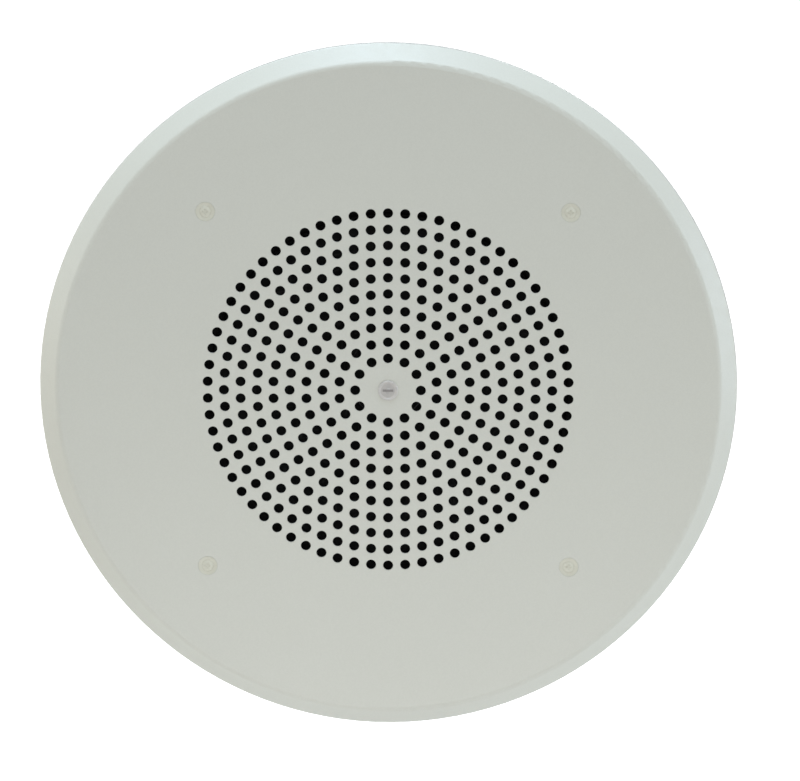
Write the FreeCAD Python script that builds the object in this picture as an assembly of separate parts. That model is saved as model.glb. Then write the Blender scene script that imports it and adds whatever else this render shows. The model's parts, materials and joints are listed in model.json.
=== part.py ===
"""Flush wall or ceiling alarm loudspeaker: a perforated round steel baffle that carries a 20 cm cone driver,
its line transformer, a rotary tap selector and a line terminal block.

Millimetres. The baffle lies against the mounting surface, which is the plane y = 0. Its face looks along -Y,
everything behind it lies along +Y, and +Z is up. The origin is on the driver's axis, in the mounting plane.
"""
import FreeCAD, Part
import math
import os

V = FreeCAD.Vector
ORIGIN = V(0, 0, 0)
AXIS_X, AXIS_Y, AXIS_Z = V(1, 0, 0), V(0, 1, 0), V(0, 0, 1)

# ---------------------------------------------------------------- driving dimensions
baffle_radius = 163.5        # 12 7/8 inch baffle
baffle_depth = 9.0           # face to mounting plane
baffle_sheet = 0.9
bevel_run = 8.2              # radial width of the sloping rim
rim_lip = 1.5                # straight edge that meets the wall
bevel_bend = 3.5
lip_bend = 1.2
hole_pitch = 7.68            # between rings of perforations, and nearly so along each ring
hole_radius = 2.35
first_ring, last_ring = 2, 11
screw_half_spacing = 85.0    # mounting screws, on a 170 mm square
screw_radius = 2.0
screw_neck_radius = 2.35     # unthreaded neck where the screw passes the face
screw_head_radius, screw_head_height, screw_recess = 3.0, 1.1, 0.4
dimple_radius, dimple_floor_radius, dimple_depth = 4.6, 3.3, 1.0     # pressed seat of each screw
screw_reach = 22.0           # beyond the mounting plane
badge_radius = 4.75
badge_height = 0.7
badge_dish = 0.25            # how far the badge's field lies below its rim

cutter_overrun = 1.0         # how far a cutter runs past the metal it cuts
running_fit = 0.15           # radial room round a screw or stud
press_fit = 0.03             # radial room that keeps two pressed parts distinct

stud_circle = 96.85          # 7 5/8 inch bolt circle of a 20 cm driver
stud_radius = 1.9
stud_reach = 6.0
stud_foot_radius = 3.0
stud_washer = 0.7
stud_nut_flats, stud_nut_height = 7.0, 3.2
gasket_thickness = 5.0
gasket_inner = 92.6
gasket_relief_radius, gasket_relief_depth = 3.6, 2.2

flange_radius = 103.2        # 8 1/8 inch driver frame
flange_inner = 86.5          # where the flange turns back towards the arms
flange_lip = 2.8
basket_sheet = 0.9
basket_slot_half, basket_slot_end = 1.2, 2.6
arm_width = 38.0
window_inner, window_outer, window_corner = 60.8, 82.0, 5.0
rib_low, rib_high, rib_half_width = 0.7, 2.4, 5.0
shelf_inner, shelf_outer = 45.5, 57.5
platform_outer, platform_bore = 41.0, 15.5
driver_depth = 46.0          # flange front to magnet platform
shelf_depth = 34.5           # flange front to spider shelf
plate_thickness = 4.0
plate_radius = 31.0
plate_bore = 14.2
plate_rivet_circle, plate_rivet_radius = 24.0, 2.0
magnet_radius, magnet_bore, magnet_thickness = 35.0, 16.0, 12.0
back_plate_radius, back_plate_thickness = 33.0, 5.0
pole_radius = 12.3
pole_vent, pole_vent_flare = 3.0, 2.0
magnet_chamfer, back_plate_chamfer, pole_chamfer = 0.8, 1.2, 0.6
cone_edge, cone_flare, cone_neck = 79.5, 44.0, 12.95
cone_flare_depth, cone_depth = 11.6, 29.0
cone_paper = 0.6
cap_radius, cap_rise, cap_thickness, cap_glue = 19.5, 7.0, 0.45, 0.15
eyelet_x, eyelet_z = 13.0, -34.0
eyelet_radius, eyelet_cap_radius = 0.9, 1.7
eyelet_front, eyelet_back, eyelet_cap = 1.4, 2.2, 0.5
former_inner, former_wall = 12.7, 0.25
former_stub, former_end = 1.5, 6.0       # before the cone's neck, and beyond the gap's middle
winding_build, winding_length = 0.5, 9.0
suspension_cloth = 0.4
surround_glue_radius, surround_inner, surround_outer, surround_end = 75.0, 79.0, 84.0, 92.4
surround_height, surround_pleats = 1.0, 2
spider_inner, spider_outer, spider_end = 16.0, 45.0, 50.2
spider_height, spider_pleats, spider_drop = 1.3, 6, 1.0
glue_gap = 0.3               # glue line between the moving parts and what holds them

board_half_length, board_sheet = 29.0, 1.6
board_low, board_high = -58.0, -48.0
board_rivet_x, board_rivet_radius, board_rivet_head = 9.0, 1.2, 2.2
lug_x, lug_z = 24.0, -53.0
lug_half_width, lug_sheet, lug_length, lug_rise = 2.5, 0.6, 11.0, 7.0
lug_lead_drop = 8.6          # from a tag's rivet down to the braided lead
tinsel_radius = 0.6

bracket_sheet = 1.2
bracket_half_width = 32.0
bracket_leg_half_width = 14.0
bracket_end = 90.0           # where the leg turns down
bracket_foot_end = 100.2
bracket_start = 46.5
bracket_bend = 1.5
deck_end = 86.0
deck_edge = 4.0              # height of the deck's side flanges
rivet_radius, rivet_head = 1.6, 2.6
shelf_rivet_x, shelf_rivet_z = 53.0, 7.0
foot_rivet_head, foot_rivet_grip = 3.4, 2.1

core_stack = 16.0
core_unit = 6.8333           # EI-41 lamination: 6 units wide, 5 units high
transformer_x = -68.0
strap_sheet = 1.0
strap_width = 12.0
strap_foot = 9.6
strap_screw_z = 26.6
strap_screw_radius, strap_hole_radius, strap_screw_length = 1.5, 1.6, 7.5
strap_nut_flats, strap_nut_height = 5.5, 2.4
bobbin_half_x, bobbin_half_z = 15.0, 13.4
bobbin_wall, bobbin_cheek, bobbin_gap = 0.9, 1.0, 0.2
coil_half_x, coil_half_z, coil_corner = 14.2, 12.9, 4.0

selector_wall_x = 88.0       # inner face of the upright that carries the switch
selector_radius = 12.0
selector_depth = 12.0
shaft_radius, shaft_clearance = 3.0, 0.05
bore_depth = 9.0             # of the shaft's bearing in the switch
shaft_flat = 1.8             # from the shaft's axis to its flat
shaft_flat_start, shaft_end = 10.0, 21.0
bushing_radius, bushing_length = 4.7, 8.0
dial_radius, dial_sheet = 13.6, 0.5
selector_washer_radius, selector_washer_sheet = 7.0, 0.6
selector_nut_flats, selector_nut_height = 12.0, 2.4
upright_start, upright_half_width, upright_top = 66.0, 15.0, 14.5
upright_rivet_x, upright_rivet_z = 71.0, 11.0
knob_start, knob_length = 9.2, 14.0      # from the upright
knob_skirt_radius, knob_radius, knob_top_radius = 11.0, 8.2, 7.2
flute_count, flute_radius, flute_circle = 16, 1.15, 8.7
pointer_half_width, pointer_reach = 0.8, 10.2
set_screw_x, set_screw_radius, set_screw_length = 15.0, 1.25, 4.6
tag_radius = 8.4             # solder tags on the switch
tag_sheet, tag_half_width, tag_reach = 0.6, 1.2, 6.0
lead_radius = 0.75
lead_circle = 50.0           # leads run round the magnet on this radius
lead_pitch = 1.6             # between leads stacked in the clip
lead_socket = 3.5            # how far a lead runs into the terminal block

block_x = (50.6, 68.0)
block_z = (-29.0, -17.0)
block_base, block_height = 7.5, 13.5
wire_height = 5.4            # wire holes above the deck
wire_hole_radius = 1.6
pole_spacing, tower_half_width = 8.6, 3.9
clamp_head_radius, clamp_radius = 2.05, 1.4

clip_half_length, clip_height = 4.0, 15.6
clip_inner, clip_outer = 3.0, 3.2
clip_slot_low, clip_slot_high, clip_slot_half = 4.4, 13.4, 0.95

# ---------------------------------------------------------------- derived stations along Y
face_y = -baffle_depth
baffle_back_y = face_y + baffle_sheet
flange_y = baffle_back_y + gasket_thickness
flange_back_y = flange_y + basket_sheet
shelf_y = flange_y + shelf_depth
shelf_back_y = shelf_y + basket_sheet
platform_y = flange_y + driver_depth
plate_y = platform_y + basket_sheet
magnet_y = plate_y + plate_thickness
back_plate_y = magnet_y + magnet_thickness
motor_end_y = back_plate_y + back_plate_thickness
deck_y = shelf_back_y + bracket_sheet
gap_centre_y = plate_y + plate_thickness / 2
neck_y = flange_y + cone_depth
spider_y = shelf_y - suspension_cloth
core_height = 5 * core_unit
core_width = 6 * core_unit
upright_foot_y = deck_y + strap_sheet
selector_y = upright_foot_y + selector_radius + 1.0


# ---------------------------------------------------------------- profile and solid helpers
def turn_of(a, b, c):
    """Signed turn from direction ab to bc, in radians."""
    first = math.atan2(b[1] - a[1], b[0] - a[0])
    second = math.atan2(c[1] - b[1], c[0] - b[0])
    return (second - first + math.pi) % (2 * math.pi) - math.pi


def rounded(points, radii):
    """Edges along a polyline of (x, y) points, each inner corner rounded to its radius."""
    at = [V(x, y, 0) for x, y in points]
    edges, start = [], at[0]
    for i in range(1, len(at) - 1):
        radius = radii[i - 1]
        if radius <= 1e-6:
            edges.append(Part.LineSegment(start, at[i]).toShape())
            start = at[i]
            continue
        back = (at[i - 1] - at[i]).normalize()
        ahead = (at[i + 1] - at[i]).normalize()
        half_turn = abs(turn_of(points[i - 1], points[i], points[i + 1])) / 2
        setback = radius * math.tan(half_turn)
        enter, leave = at[i] + back * setback, at[i] + ahead * setback
        middle = (back + ahead).normalize()
        apex = at[i] + middle * (radius / math.cos(half_turn) - radius)
        if (enter - start).Length > 1e-6:
            edges.append(Part.LineSegment(start, enter).toShape())
        edges.append(Part.Arc(enter, apex, leave).toShape())
        start = leave
    edges.append(Part.LineSegment(start, at[-1]).toShape())
    return edges


def offset_path(points, radii, distance):
    """The polyline moved to its left by distance, with the radii that keep its bends concentric."""
    moved, new_radii = [], []
    for i, (x, y) in enumerate(points):
        normals = []
        for a, b in ((i - 1, i), (i, i + 1)):
            if a >= 0 and b < len(points):
                dx, dy = points[b][0] - points[a][0], points[b][1] - points[a][1]
                length = math.hypot(dx, dy)
                normals.append((-dy / length, dx / length))
        nx = sum(n[0] for n in normals) / len(normals)
        ny = sum(n[1] for n in normals) / len(normals)
        scale = distance / (nx * nx + ny * ny)
        moved.append((x + nx * scale, y + ny * scale))
        if 0 < i < len(points) - 1:
            left_turn = turn_of(points[i - 1], points[i], points[i + 1]) > 0
            radius = radii[i - 1]
            changed = radius - distance if left_turn else radius + distance
            new_radii.append(max(changed, 0.0) if radius > 0 else 0.0)
    return moved, new_radii


def sheet_face(points, radii, thickness):
    """A sheet's cross-section: one side is the polyline, and the metal lies to its left."""
    near = rounded(points, radii)
    far_points, far_radii = offset_path(points, radii, thickness)
    far = rounded(far_points, far_radii)
    ends = [Part.LineSegment(V(*far_points[k], 0), V(*points[k], 0)).toShape() for k in (0, -1)]
    return Part.Face(Part.Wire(Part.__sortEdges__(near + far + ends)))


def turned(face):
    """The solid that a half-section in the XY plane makes about the Y axis."""
    return face.revolve(ORIGIN, AXIS_Y, 360)


def polygon_face(points):
    return Part.Face(Part.makePolygon([V(x, y, 0) for x, y in points + points[:1]]))


def ring(inner, outer, y0, y1):
    """A tube or washer about the Y axis."""
    body = Part.makeCylinder(outer, y1 - y0, V(0, y0, 0), AXIS_Y)
    if inner > 0:
        body = body.cut(Part.makeCylinder(inner, y1 - y0, V(0, y0, 0), AXIS_Y))
    return body


def box(x0, x1, y0, y1, z0, z1):
    return Part.makeBox(x1 - x0, y1 - y0, z1 - z0, V(x0, y0, z0))


def post(radius, y0, y1, x=0.0, z=0.0):
    """A round bar along Y."""
    return Part.makeCylinder(radius, y1 - y0, V(x, y0, z), AXIS_Y)


def drill(radius, y0, y1, x=0.0, z=0.0):
    """The space a drill clears along Y, through metal from y0 to y1."""
    return post(radius, y0 - cutter_overrun, y1 + cutter_overrun, x, z)


def bar_x(radius, x0, x1, y=0.0, z=0.0):
    """A round bar along X."""
    return Part.makeCylinder(radius, x1 - x0, V(x0, y, z), AXIS_X)


def drill_x(radius, x0, x1, y=0.0, z=0.0):
    """The space a drill clears along X, through metal from x0 to x1."""
    return bar_x(radius, x0 - cutter_overrun, x1 + cutter_overrun, y, z)


def upright_edges(shape):
    """The straight edges along Y."""
    return [e for e in shape.Edges
            if len(e.Vertexes) == 2 and abs(e.tangentAt(e.FirstParameter).y) > 0.999]


def on_circle(radius, degrees):
    angle = math.radians(degrees)
    return radius * math.cos(angle), radius * math.sin(angle)


def strip(points, radii, thickness, half_width):
    """A bent strip of sheet, drawn in the XY plane and half_width wide each way along Z."""
    face = sheet_face(points, radii, thickness)
    face.translate(V(0, 0, -half_width))
    return face.extrude(V(0, 0, 2 * half_width))


def hexagon(across_flats, thickness, bore):
    """A hexagonal nut along +Y from the origin, with its front corners chamfered."""
    corner = across_flats / math.sqrt(3)
    points = []
    for k in range(7):
        x, z = on_circle(corner, 60 * k)
        points.append(V(x, 0, z))
    prism = Part.Face(Part.makePolygon(points)).extrude(V(0, thickness, 0))
    chamfer_start, crown_radius = thickness * 0.72, across_flats * 0.485
    crown = turned(polygon_face([(0, 0), (corner, 0), (corner, chamfer_start),
                                 (crown_radius, thickness), (0, thickness)]))
    return prism.common(crown).cut(post(bore, 0, thickness))


def moved(shape, x=0.0, y=0.0, z=0.0):
    copy = shape.copy()
    copy.translate(V(x, y, z))
    return copy


def turned_to_x(shape):
    """A shape drawn along +Y, laid along +X."""
    copy = shape.copy()
    copy.rotate(ORIGIN, AXIS_Z, -90)
    return copy


def group(shapes):
    return Part.makeCompound(shapes)


def tube(points, radius):
    """A round lead along straight runs joined by arcs as large as the runs allow."""
    at = [V(*p) for p in points]
    edges, start, tightest = [], at[0], None
    for i in range(1, len(at) - 1):
        back, ahead = at[i - 1] - at[i], at[i + 1] - at[i]
        run = min(back.Length, ahead.Length)
        back, ahead = back.normalize(), ahead.normalize()
        half_turn = (math.pi - back.getAngle(ahead)) / 2
        setback = 0.45 * run
        bend = setback / math.tan(half_turn)
        tightest = bend if tightest is None else min(bend, tightest)
        enter, leave = at[i] + back * setback, at[i] + ahead * setback
        apex = at[i] + (back + ahead).normalize() * (bend / math.cos(half_turn) - bend)
        edges += [Part.LineSegment(start, enter).toShape(), Part.Arc(enter, apex, leave).toShape()]
        start = leave
    edges.append(Part.LineSegment(start, at[-1]).toShape())
    path = Part.Wire(edges)
    first = (at[1] - at[0]).normalize()
    section = Part.Wire(Part.makeCircle(radius, at[0], first))
    solid = path.makePipeShell([section], True, False)
    print("lead length %.1f, tightest bend %.1f, volume ratio %.4f"
          % (path.Length, tightest or 0, solid.Volume / (math.pi * radius ** 2 * path.Length)))
    return solid


# ---------------------------------------------------------------- baffle and what fastens it
def screw_places():
    side = screw_half_spacing
    return [(sx * side, sz * side) for sx in (1, -1) for sz in (1, -1)]


def stud_places():
    return [on_circle(stud_circle, 45 + 90 * k) for k in range(4)]


def perforations():
    """Rings of holes: ring k holds 6k of them, and each ring starts at the top."""
    holes = []
    for k in range(first_ring, last_ring + 1):
        for j in range(6 * k):
            x, z = on_circle(k * hole_pitch, 90 + 60 * j / k)
            holes.append(drill(hole_radius, face_y, baffle_back_y, x, z))
    return holes


def make_baffle():
    """Pressed steel dish: flat face with a seat for each screw, soft bevel and a short lip."""
    path = [(0, face_y), (baffle_radius - bevel_run, face_y),
            (baffle_radius, -rim_lip), (baffle_radius, 0)]
    dish = turned(sheet_face(path, [bevel_bend, lip_bend], baffle_sheet))
    seats, cuts = [], perforations()
    for x, z in screw_places():
        seats.append(moved(dimple(baffle_back_y, dimple_radius + 0.5, dimple_floor_radius + 0.4), x, 0, z))
        cuts.append(moved(dimple(face_y, dimple_radius, dimple_floor_radius), x, 0, z))
        cuts.append(drill(screw_neck_radius + running_fit, face_y, baffle_back_y + dimple_depth, x, z))
    return dish.fuse(seats).cut(group(cuts))


def dimple(y, radius, floor_radius):
    """The conical space of a screw's seat, sunk behind the plane y."""
    floor_y = y + dimple_depth
    return turned(polygon_face([(0, y), (radius, y), (floor_radius, floor_y), (0, floor_y)]))


def make_badge():
    """Plain round badge with a raised rim and a shallow dome, stuck on the face."""
    top = face_y - badge_height
    field = top + badge_dish
    rim, centre = 0.9, 0.9
    points = [(0, face_y), (badge_radius, face_y), (badge_radius, top + 0.2), (badge_radius - 0.2, top),
              (badge_radius - rim, top), (badge_radius - rim - 0.2, field), (centre + 0.3, field),
              (centre, top), (0, top)]
    return turned(polygon_face(points))


def pan_head_screw(head_radius, head_height, shank_radius, length, recess, neck_radius, neck):
    """Cross-recessed pan head in front of y = 0, then a neck and a plain shank behind it."""
    edge, rim = V(head_radius, 0, 0), V(head_radius, -0.45 * head_height, 0)
    shoulder, crown = V(0.62 * head_radius, -0.88 * head_height, 0), V(0, -head_height, 0)
    edges = [Part.LineSegment(ORIGIN, edge).toShape(),
             Part.LineSegment(edge, rim).toShape(),
             Part.Arc(rim, shoulder, crown).toShape(),
             Part.LineSegment(crown, ORIGIN).toShape()]
    head = turned(Part.Face(Part.Wire(edges)))
    arm, half = head_radius * 0.42, head_radius * 0.11
    front, floor = -head_height - cutter_overrun, recess - head_height
    slots = box(-arm, arm, front, floor, -half, half).fuse(box(-half, half, front, floor, -arm, arm))
    tip = min(shank_radius * 0.4, length * 0.1)
    shank = turned(polygon_face([(0, 0), (neck_radius, 0), (neck_radius, neck), (shank_radius, neck),
                                 (shank_radius, length - tip), (shank_radius - tip, length),
                                 (0, length)]))
    return head.cut(slots).fuse(shank).removeSplitter()


def make_mounting_screws():
    """Each head sits in its seat, about flush with the face."""
    seat_y = face_y + dimple_depth
    one = pan_head_screw(screw_head_radius, screw_head_height, screw_radius, screw_reach - seat_y,
                         screw_recess, screw_neck_radius, baffle_sheet + running_fit)
    return group([moved(one, x, seat_y, z) for x, z in screw_places()])


def make_speaker_studs():
    """Studs welded to the back of the face."""
    length = stud_reach - baffle_back_y
    points = [(0, 0), (stud_foot_radius, 0), (stud_foot_radius, 0.8), (stud_radius, 1.1),
              (stud_radius, length - 0.8), (stud_radius - 0.7, length), (0, length)]
    one = turned(polygon_face(points))
    return group([moved(one, x, baffle_back_y, z) for x, z in stud_places()])


def make_lock_washers():
    """Toothed washers between the driver's flange and the nuts."""
    teeth, body_radius, tooth_circle, tooth_half = 12, 3.6, 3.9, 0.45
    one = ring(stud_radius + running_fit, body_radius, 0, stud_washer)
    for k in range(teeth):
        x, z = on_circle(tooth_circle, 360 * k / teeth)
        tooth = box(-tooth_half, tooth_half, 0, stud_washer, -0.5, 0.6)
        tooth.rotate(ORIGIN, AXIS_Y, 90 - 360 * k / teeth)
        one = one.fuse(moved(tooth, x, 0, z))
    one = one.removeSplitter()
    return group([moved(one, x, flange_back_y, z) for x, z in stud_places()])


def make_speaker_nuts():
    one = hexagon(stud_nut_flats, stud_nut_height, stud_radius)
    return group([moved(one, x, flange_back_y + stud_washer, z) for x, z in stud_places()])


def make_gasket():
    """Pressed board ring that spaces the driver off the face."""
    body = ring(gasket_inner, flange_radius, baffle_back_y, flange_y)
    holes = [drill(stud_foot_radius + 0.2, baffle_back_y, flange_y, x, z) for x, z in stud_places()]
    reliefs = [post(gasket_relief_radius, flange_y - gasket_relief_depth, flange_y,
                    *on_circle(stud_circle, 180 * k)) for k in range(2)]
    return body.cut(group(holes + reliefs))


# ---------------------------------------------------------------- driver: frame and motor
def basket_path():
    """The frame's cone side, from its outer lip in to the platform's bore, with its bends."""
    skirt = (flange_inner - 2.0, flange_y + 7.0)
    arm_end = (shelf_outer + 1.3, shelf_y - 4.5)
    points = [(flange_radius, flange_y + flange_lip), (flange_radius, flange_y), (flange_inner, flange_y),
              skirt, arm_end, (shelf_outer, shelf_y), (shelf_inner, shelf_y),
              (platform_outer, platform_y), (platform_bore, platform_y)]
    return points, [1.4, 1.2, 6.0, 2.0, 1.5, 1.5, 2.0]


def window_prism():
    """The space cut out between two arms, for the window centred on +X."""
    low, high, reach = 0.0, platform_y - 2.9, flange_radius + 20.0
    sector = ring(window_inner, window_outer, low, high)
    for sign in (1, -1):
        arm = box(-1, reach, low - 1, high + 1, -2 * reach, arm_width / 2)
        arm.rotate(ORIGIN, AXIS_Y, 45)
        if sign < 0:
            arm = arm.mirror(ORIGIN, AXIS_Z)
        sector = sector.cut(arm)
    sector = sector.common(box(0, reach, low - 1, high + 1, -reach, reach))
    return sector.makeFillet(window_corner, upright_edges(sector))


def arm_rib():
    """A raised bead along the arm on +X."""
    points = [(flange_inner - 3.3, flange_y + 8.2), (shelf_outer + 2.5, flange_y + 28.9)]
    near, _ = offset_path(points, [], -rib_low)
    (x0, y0), (x1, y1) = offset_path(points, [], -rib_high)[0]
    slope_x, slope_y = 0.06 * (x1 - x0), 0.06 * (y1 - y0)
    crest = [(x1 - slope_x, y1 - slope_y), (x0 + slope_x, y0 + slope_y)]
    face = polygon_face(near + crest)
    face.translate(V(0, 0, -rib_half_width))
    return face.extrude(V(0, 0, 2 * rib_half_width))


def make_basket():
    """Stamped frame: flange, four ribbed arms, spider shelf and magnet platform."""
    points, bends = basket_path()
    shell = turned(sheet_face(points[::-1], bends[::-1], basket_sheet))
    window = window_prism()
    cuts = []
    for k in range(4):
        hole = window.copy()
        hole.rotate(ORIGIN, AXIS_Y, 45 + 90 * k)
        cuts.append(hole)
        rib = arm_rib()
        rib.rotate(ORIGIN, AXIS_Y, 90 * k)
        shell = shell.fuse(rib)
    for k in range(8):
        near, far = stud_circle - basket_slot_half, stud_circle + basket_slot_half
        slot = box(near, far, flange_y - cutter_overrun, flange_back_y + cutter_overrun,
                   -basket_slot_end, basket_slot_end)
        for x in (near, far):
            slot = slot.fuse(drill(basket_slot_end, flange_y, flange_back_y, x))
        slot.rotate(ORIGIN, AXIS_Y, 45 * k)
        cuts.append(slot)
    cuts += [drill(plate_rivet_radius, platform_y, plate_y, x, z) for x, z in plate_rivet_places()]
    cuts += [drill(rivet_radius, shelf_y, shelf_back_y, x, z) for x, z in shelf_rivet_places()]
    cuts += [drill(board_rivet_radius, shelf_y, shelf_back_y, x, z) for x, z in board_rivet_places()]
    return shell.cut(group(cuts))


def plate_rivet_places():
    return [on_circle(plate_rivet_circle, 45 + 90 * k) for k in range(4)]


def shelf_rivet_places():
    return [(sx * shelf_rivet_x, sz * shelf_rivet_z) for sx in (1, -1) for sz in (1, -1)]


def board_rivet_places():
    return [(sx * board_rivet_x, lug_z) for sx in (1, -1)]


def rivet(radius, head_radius, grip, front_head):
    """A rivet along +Y: closed head before y = 0, or flush there, and a formed head after grip."""
    edge_height, head_height = 0.9, 1.1
    points = [(0, 0), (radius, 0), (radius, grip), (head_radius, grip),
              (head_radius * 0.85, grip + edge_height), (0, grip + head_height)]
    if front_head > 0:
        points[:1] = [(0, -front_head), (head_radius * 0.8, -front_head),
                      (head_radius, -front_head * 0.4), (head_radius, 0)]
    return turned(polygon_face(points))


def make_top_plate():
    body = ring(plate_bore, plate_radius, plate_y, magnet_y)
    holes = [drill(plate_rivet_radius, plate_y, magnet_y, x, z) for x, z in plate_rivet_places()]
    return body.cut(group(holes))


def make_plate_rivets():
    """Stakes that hold the top plate to the platform, flush with the plate's back."""
    length = magnet_y - platform_y
    radius, head, height = plate_rivet_radius, plate_rivet_radius + 1.2, 1.0
    one = turned(polygon_face([(0, -height), (head - 0.6, -height), (head, -0.4), (head, 0), (radius, 0),
                               (radius, length), (0, length)]))
    return group([moved(one, x, platform_y, z) for x, z in plate_rivet_places()])


def make_magnet():
    chamfer = magnet_chamfer
    points = [(magnet_bore, magnet_y), (magnet_radius - chamfer, magnet_y),
              (magnet_radius, magnet_y + chamfer), (magnet_radius, back_plate_y - chamfer),
              (magnet_radius - chamfer, back_plate_y), (magnet_bore, back_plate_y)]
    return turned(polygon_face(points))


def make_back_plate():
    bore, chamfer = pole_radius + press_fit, back_plate_chamfer
    points = [(bore, back_plate_y), (back_plate_radius, back_plate_y),
              (back_plate_radius, motor_end_y - chamfer), (back_plate_radius - chamfer, motor_end_y),
              (bore, motor_end_y)]
    return turned(polygon_face(points))


def make_pole_piece():
    """Vented pole, pressed into the back plate."""
    front, chamfer, flare = plate_y - 0.5, pole_chamfer, pole_vent_flare
    points = [(pole_vent, front), (pole_radius - chamfer, front), (pole_radius, front + chamfer),
              (pole_radius, motor_end_y), (pole_vent + flare, motor_end_y), (pole_vent, motor_end_y - flare)]
    return turned(polygon_face(points))


# ---------------------------------------------------------------- driver: moving parts and suspension
def cone_arc():
    """Three points on the cone's front: its outer edge, its flare and its neck."""
    flare = V(cone_flare, flange_y + cone_flare_depth, 0)
    return V(cone_edge, flange_y, 0), flare, V(cone_neck, neck_y, 0)


def cone_front_y(radius):
    """Where the cone's front lies at a radius."""
    circle = Part.Arc(*cone_arc()).toShape().Curve
    rise = math.sqrt(circle.Radius ** 2 - (radius - circle.Center.x) ** 2)
    return circle.Center.y - math.copysign(rise, circle.Center.y - flange_y)


def make_cone():
    edge, flare, neck = cone_arc()
    back = V(0, cone_paper, 0)
    edges = [Part.Arc(edge, flare, neck).toShape(),
             Part.LineSegment(neck, neck + back).toShape(),
             Part.Arc(neck + back, flare + back, edge + back).toShape(),
             Part.LineSegment(edge + back, edge).toShape()]
    shell = turned(Part.Face(Part.Wire(edges)))
    return shell.cut(group([eyelet_hole(side) for side in (1, -1)]))


def eyelet_place(side):
    return side * eyelet_x, eyelet_z


def eyelet_hole(side):
    x, z = eyelet_place(side)
    y = cone_front_y(math.hypot(x, z))
    return drill(eyelet_radius, y - eyelet_front, y + eyelet_back, x, z)


def make_cone_eyelets():
    """Brass eyelets where the tinsel leads meet the cone."""
    made = []
    for side in (1, -1):
        x, z = eyelet_place(side)
        y = cone_front_y(math.hypot(x, z))
        shank = post(eyelet_radius, y - eyelet_front, y + eyelet_back, x, z)
        cap = post(eyelet_cap_radius, y + eyelet_back, y + eyelet_back + eyelet_cap, x, z)
        made.append(shank.fuse(cap).removeSplitter())
    return group(made)


def make_dust_cap():
    """Shallow spherical cap, glued to the cone round the voice coil."""
    edge_y = cone_front_y(cap_radius) - cap_glue
    front_y = edge_y - cap_rise
    outer = ball_cap(front_y, edge_y)
    inner = ball_cap(front_y + cap_thickness, edge_y)
    return outer.cut(inner)


def ball_cap(front_y, edge_y):
    """The part, in front of the plane y = edge_y, of a ball whose foremost point is at front_y."""
    size = (cap_radius ** 2 + cap_rise ** 2) / (2 * cap_rise)
    ball = Part.makeSphere(size, V(0, front_y + size, 0), AXIS_Y)
    reach = 2 * cap_radius
    return ball.common(box(-reach, reach, edge_y - reach, edge_y, -reach, reach))


def make_former():
    return ring(former_inner, former_inner + former_wall, neck_y - former_stub, gap_centre_y + former_end)


def make_winding():
    inner = former_inner + former_wall
    half = winding_length / 2
    return ring(inner, inner + winding_build, gap_centre_y - half, gap_centre_y + half)


def wave(inner, outer, y, height, folds):
    """Corner points of a corrugated sheet between two radii."""
    step = (outer - inner) / (2 * folds)
    points = []
    for k in range(2 * folds):
        side = 1 if k % 2 else -1
        points.append((inner + (k + 0.5) * step, y + side * height))
    return points


def make_surround():
    """Pleated edge between the cone and the flange, glued to both."""
    y = flange_y - suspension_cloth
    glue_y = cone_front_y(surround_glue_radius) - 0.75
    points = [(surround_glue_radius, glue_y), (surround_inner - 0.4, y)]
    points += wave(surround_inner, surround_outer, y, surround_height, surround_pleats)
    points += [(surround_outer + 0.5, y), (surround_end, y)]
    bends = [1.2] + [0.5] * (2 * surround_pleats) + [0.5]
    return turned(sheet_face(points, bends, suspension_cloth))


def make_spider():
    """Corrugated centring disc between the former and the shelf."""
    collar = former_inner + former_wall + glue_gap
    points = [(collar, spider_y - spider_drop), (spider_inner - 0.5, spider_y - spider_drop)]
    points += wave(spider_inner, spider_outer, spider_y, spider_height, spider_pleats)
    points += [(spider_outer + 1.0, spider_y), (spider_end, spider_y)]
    bends = [0.6] + [0.9] * (2 * spider_pleats) + [0.6]
    return turned(sheet_face(points, bends, suspension_cloth))


# ---------------------------------------------------------------- driver: terminals
def make_terminal_board():
    """Phenolic strip riveted to the back of the spider shelf, below the magnet."""
    back = shelf_back_y + board_sheet
    body = box(-board_half_length, board_half_length, shelf_back_y, back, board_low, board_high)
    body = body.makeFillet(2.0, upright_edges(body))
    holes = [drill(board_rivet_radius, shelf_back_y, back, x, z)
             for x, z in board_rivet_places() + lug_places()]
    return body.cut(group(holes))


def lug_places():
    return [(sx * lug_x, lug_z) for sx in (1, -1)]


def make_terminal_lugs():
    """Tinned solder tags: a flat eye on the board and an upturned tab with a hole."""
    made = []
    half, y = lug_half_width, shelf_back_y + board_sheet
    for x, z in lug_places():
        flat = box(x - half, x + half, y, y + lug_sheet, z - lug_length, z + half)
        tab = box(x - half, x + half, y, y + lug_rise, z + half, z + half + lug_sheet)
        wire_eye = Part.makeCylinder(1.1, 3, V(x, y + 4.6, z + half - 1), AXIS_Z)
        braid_eye = drill(1.0, y, y + lug_sheet, x, z - lug_lead_drop)
        rivet_hole = drill(board_rivet_radius, y, y + lug_sheet, x, z)
        one = flat.fuse(tab).removeSplitter()
        made.append(one.cut(group([wire_eye, braid_eye, rivet_hole])))
    return group(made)


def make_terminal_rivets():
    """Two rivets hold the board to the shelf, and two hold the tags to the board."""
    shelf = rivet(board_rivet_radius, board_rivet_head, basket_sheet + board_sheet, 0.7)
    tag = rivet(board_rivet_radius, board_rivet_head, board_sheet + lug_sheet, 0)
    made = [moved(shelf, x, shelf_y, z) for x, z in board_rivet_places()]
    made += [moved(tag, x, shelf_back_y, z) for x, z in lug_places()]
    return group(made)


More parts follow.
